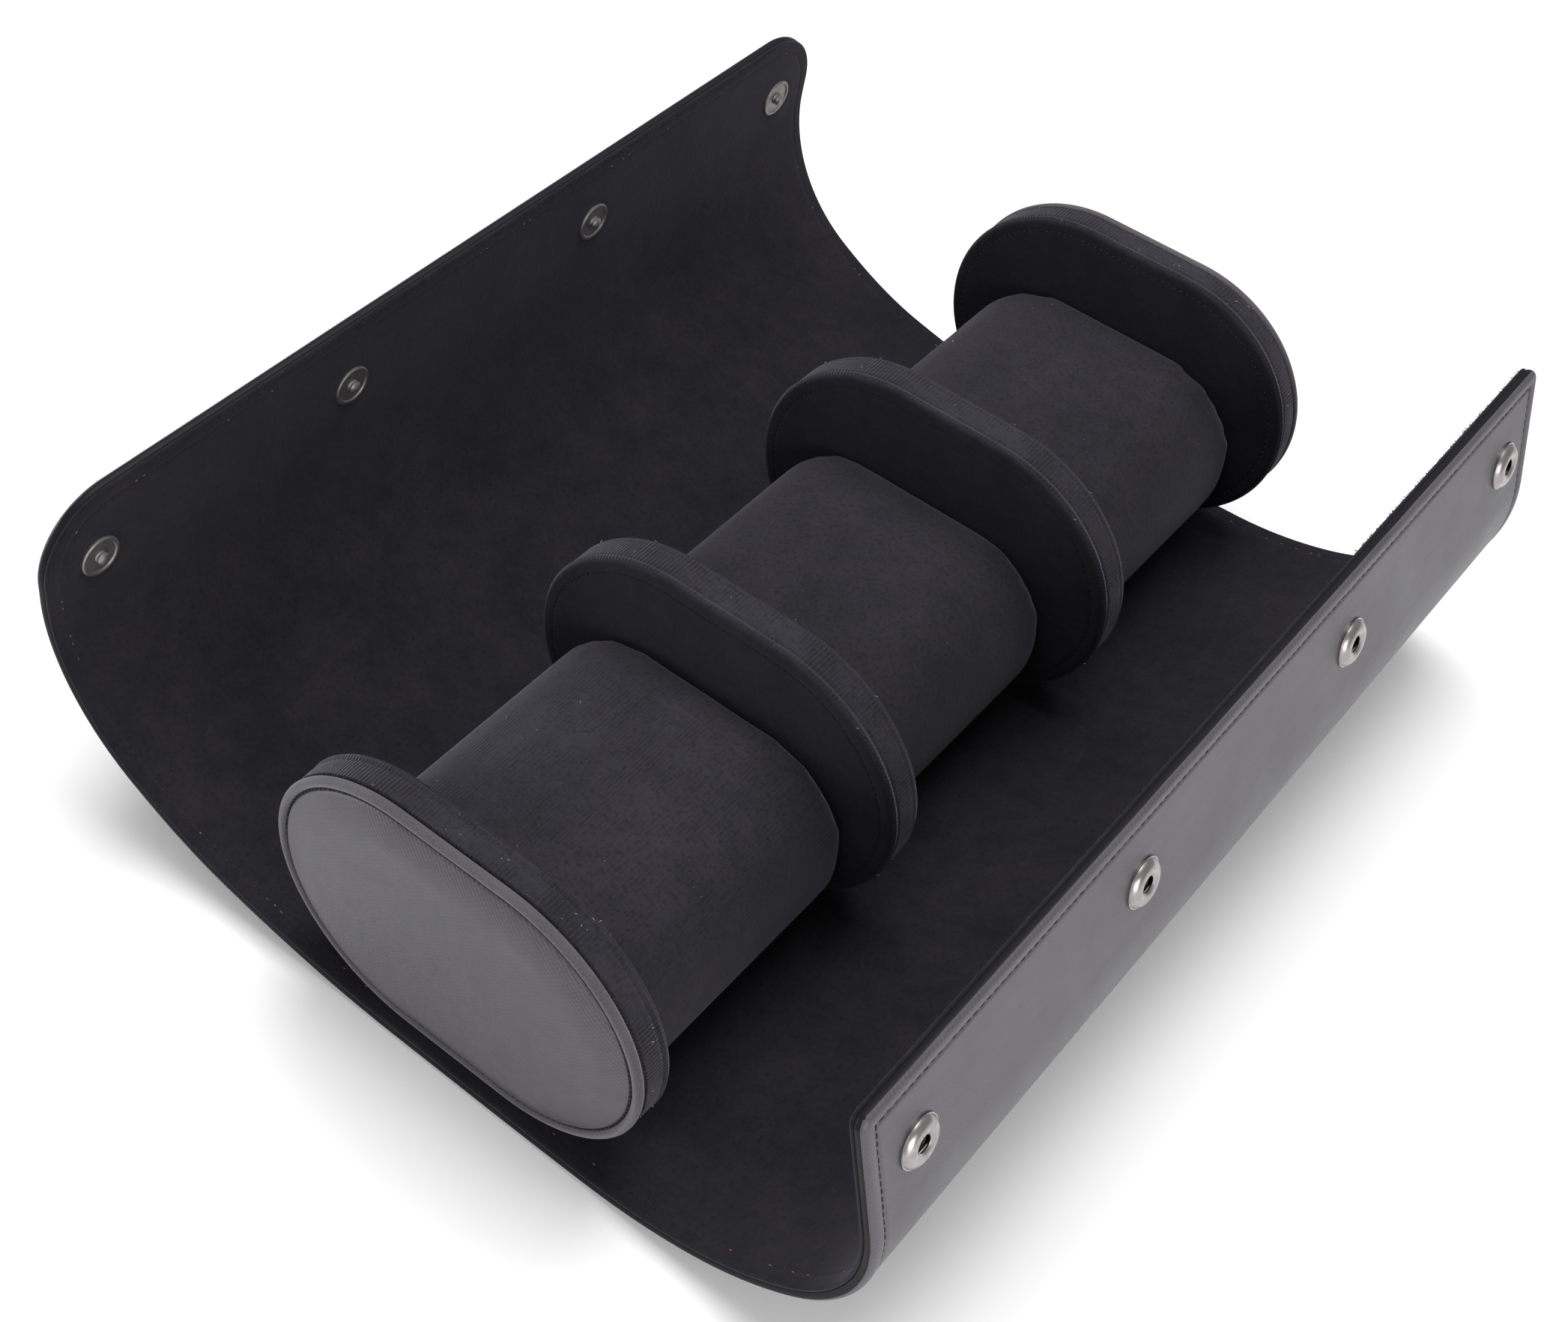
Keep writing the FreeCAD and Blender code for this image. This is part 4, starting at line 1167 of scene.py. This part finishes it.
class BuildWrap(bpy.types.Operator):
    """Lays the leather cover, the stiffener boards and the suede lining along the wrap's smooth path"""

    bl_idname = "travel_roll.build_wrap"
    bl_label = "Build wrap"
    bl_options = {"REGISTER", "UNDO"}

    def execute(self, context):
        layers = (("cover", cover_layer, "leather", "leather"),
                  ("board", board_layer, "board", "stiffener_board"),
                  ("lining", lining_layer, "lining", "suede_lining"))
        for span in all_spans():
            for layer, shape, kind, slot in layers:
                piece = make_piece("%s_%s_panel" % (span.name, layer), shape(span), material(kind))
                hold(piece, span)
                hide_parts(replaced_node(span, layer))
        return {"FINISHED"}


class BuildWrapStitching(bpy.types.Operator):
    """Sews the row of stitches round the wrap, on the cover and on the lining, and frays the lining's
    tips"""

    bl_idname = "travel_roll.build_wrap_stitching"
    bl_label = "Build wrap stitching"
    bl_options = {"REGISTER", "UNDO"}

    def execute(self, context):
        for number, span in enumerate(all_spans()):
            hold(make_piece(span.name + "_cover_stitching", wrap_stitches(span, False, number),
                            material("thread")), span)
            hold(make_piece(span.name + "_lining_stitching", wrap_stitches(span, True, 20 + number),
                            material("lining_thread")), span)
            if is_flap(span):
                hold(make_piece(span.name + "_frayed_nap", frayed_edge(span, 0.22 * MM, 40 + number),
                                material("nap")), span)
        return {"FINISHED"}


class BuildDiscs(bpy.types.Operator):
    """Covers the two end discs and the two dividers"""

    bl_idname = "travel_roll.build_discs"
    bl_label = "Build discs"
    bl_options = {"REGISTER", "UNDO"}

    def execute(self, context):
        pieces = build_end_disc("front_disc", -1) + build_end_disc("rear_disc", 1)
        pieces += build_divider("divider_1") + build_divider("divider_2")
        for piece in pieces:
            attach(piece, "core_and_base")
        for name in DISCS:
            frame["nodes"][name + "_board"].material_slots[0].material = material("board")
        return {"FINISHED"}


class BuildPillows(bpy.types.Operator):
    """Blows up the three suede pillows on their foam cores"""

    bl_idname = "travel_roll.build_pillows"
    bl_label = "Build pillows"
    bl_options = {"REGISTER", "UNDO"}

    def execute(self, context):
        for name in PILLOWS:
            for piece in build_pillow(name):
                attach(piece, name)
        return {"FINISHED"}


class FinishSnaps(bpy.types.Operator):
    """Gives the snaps' CAD parts their plating"""

    bl_idname = "travel_roll.finish_snaps"
    bl_label = "Finish snaps"
    bl_options = {"REGISTER", "UNDO"}

    def execute(self, context):
        for name, node in frame["nodes"].items():
            if name.startswith("snap_"):
                kind = {"snap_springs": "spring", "snap_studs": "stud_plating"}.get(name, "plating")
                node.material_slots[0].material = material(kind)
        return {"FINISHED"}


class BuildStage(bpy.types.Operator):
    """Adds the pale floor, the soft lights and the camera"""

    bl_idname = "travel_roll.build_stage"
    bl_label = "Build stage"
    bl_options = {"REGISTER", "UNDO"}

    def execute(self, context):
        build_floor()
        build_lights()
        build_camera()
        return {"FINISHED"}


def build_floor():
    """A flat sheet under the roll, worked out as a grid."""
    span = np.linspace(-3.0, 3.0, 5)
    x, y = np.meshgrid(span, span, indexing="ij")
    points = np.stack([x, y, np.full_like(x, -0.0004)], -1)
    floor = make_piece("studio_floor", surface(points, points[..., :2]), studio_floor(),
                       closed=False)
    if floor.data.polygons[0].normal.z < 0:
        floor.data.flip_normals()


def area_light(name, place, target, size, watts):
    """A square soft light at a place, turned to its target."""
    data = bpy.data.lights.new(name, "AREA")
    data.shape, data.size, data.energy = "SQUARE", size, watts
    lamp = bpy.data.objects.new(name, data)
    lamp.location = place
    direction = Vector(target) - Vector(place)
    lamp.rotation_euler = direction.to_track_quat("-Z", "Y").to_euler()
    bpy.context.scene.collection.objects.link(lamp)


def build_lights():
    """White surroundings, a large soft light overhead, and two weaker ones low at the front corners."""
    scene = bpy.context.scene
    scene.view_settings.view_transform = "Standard"
    world = bpy.data.worlds.new("white studio")
    world.use_nodes = True
    world.node_tree.nodes["Background"].inputs["Color"].default_value = (1.0, 1.0, 1.0, 1.0)
    world.node_tree.nodes["Background"].inputs["Strength"].default_value = 0.45
    scene.world = world
    area_light("overhead softbox", (-0.1, 0.2, 1.1), (0, 0, 0.03), 0.8, 14.0)
    area_light("right softbox", (0.9, -0.55, 0.35), (0, 0, 0.04), 0.6, 6.0)
    area_light("left softbox", (-0.95, -0.8, 0.12), (0, -0.14, 0.03), 0.5, 6.5)


def build_camera():
    """The camera, from the yaw, pitch and roll of its line of sight."""
    yaw, pitch, roll = 0.62100, 0.82700, 0.09200
    pivot, across, up, distance = np.array([0.0, 0.0, 0.024]), -0.038976, 0.00631, 0.572718
    right = np.array([math.cos(yaw), math.sin(yaw), 0.0])
    back = np.array([math.sin(yaw) * math.cos(pitch), -math.cos(yaw) * math.cos(pitch), math.sin(pitch)])
    upward = np.cross(back, right)
    rolled = math.cos(roll) * right + math.sin(roll) * upward
    rolled_up = -math.sin(roll) * right + math.cos(roll) * upward
    place = pivot + across * rolled + up * rolled_up + distance * back
    data = bpy.data.cameras.new("camera")
    data.sensor_width, data.lens = 36.0, 52.55
    data.shift_x, data.shift_y = 0.0718, -0.0157
    data.clip_start, data.clip_end = 0.01, 20.0
    camera = bpy.data.objects.new("camera", data)
    turned = np.eye(4)
    turned[:3, :3] = np.stack([rolled, rolled_up, back], -1)
    turned[:3, 3] = place
    camera.matrix_world = Matrix(turned.tolist())
    bpy.context.scene.collection.objects.link(camera)
    bpy.context.scene.camera = camera


class TravelRollPanel(bpy.types.Panel):
    """Lists the operators and the settings in the 3D view's sidebar"""

    bl_idname = "VIEW3D_PT_travel_roll"
    bl_label = "Travel Roll"
    bl_space_type = "VIEW_3D"
    bl_region_type = "UI"
    bl_category = "Travel Roll"

    def draw(self, context):
        for operator in OPERATORS:
            self.layout.operator(operator.bl_idname)
        for settings in (context.scene.travel_roll_sizes, context.scene.travel_roll_colours):
            for name in settings.__annotations__:
                self.layout.prop(settings, name)


OPERATORS = (BuildWrap, BuildWrapStitching, BuildDiscs, BuildPillows, FinishSnaps, BuildStage)
CLASSES = (TravelRollSizes, TravelRollColours, *OPERATORS, TravelRollPanel)


def register():
    for each in CLASSES:
        bpy.utils.register_class(each)
    bpy.types.Scene.travel_roll_sizes = bpy.props.PointerProperty(type=TravelRollSizes)
    bpy.types.Scene.travel_roll_colours = bpy.props.PointerProperty(type=TravelRollColours)


def unregister():
    del bpy.types.Scene.travel_roll_colours
    del bpy.types.Scene.travel_roll_sizes
    for each in reversed(CLASSES):
        bpy.utils.unregister_class(each)


def main():
    """Builds the whole roll."""
    register()
    bpy.ops.travel_roll.build_wrap()
    bpy.ops.travel_roll.build_wrap_stitching()
    bpy.ops.travel_roll.build_discs()
    bpy.ops.travel_roll.build_pillows()
    bpy.ops.travel_roll.finish_snaps()
    bpy.ops.travel_roll.build_stage()


if __name__ == "__main__":
    main()
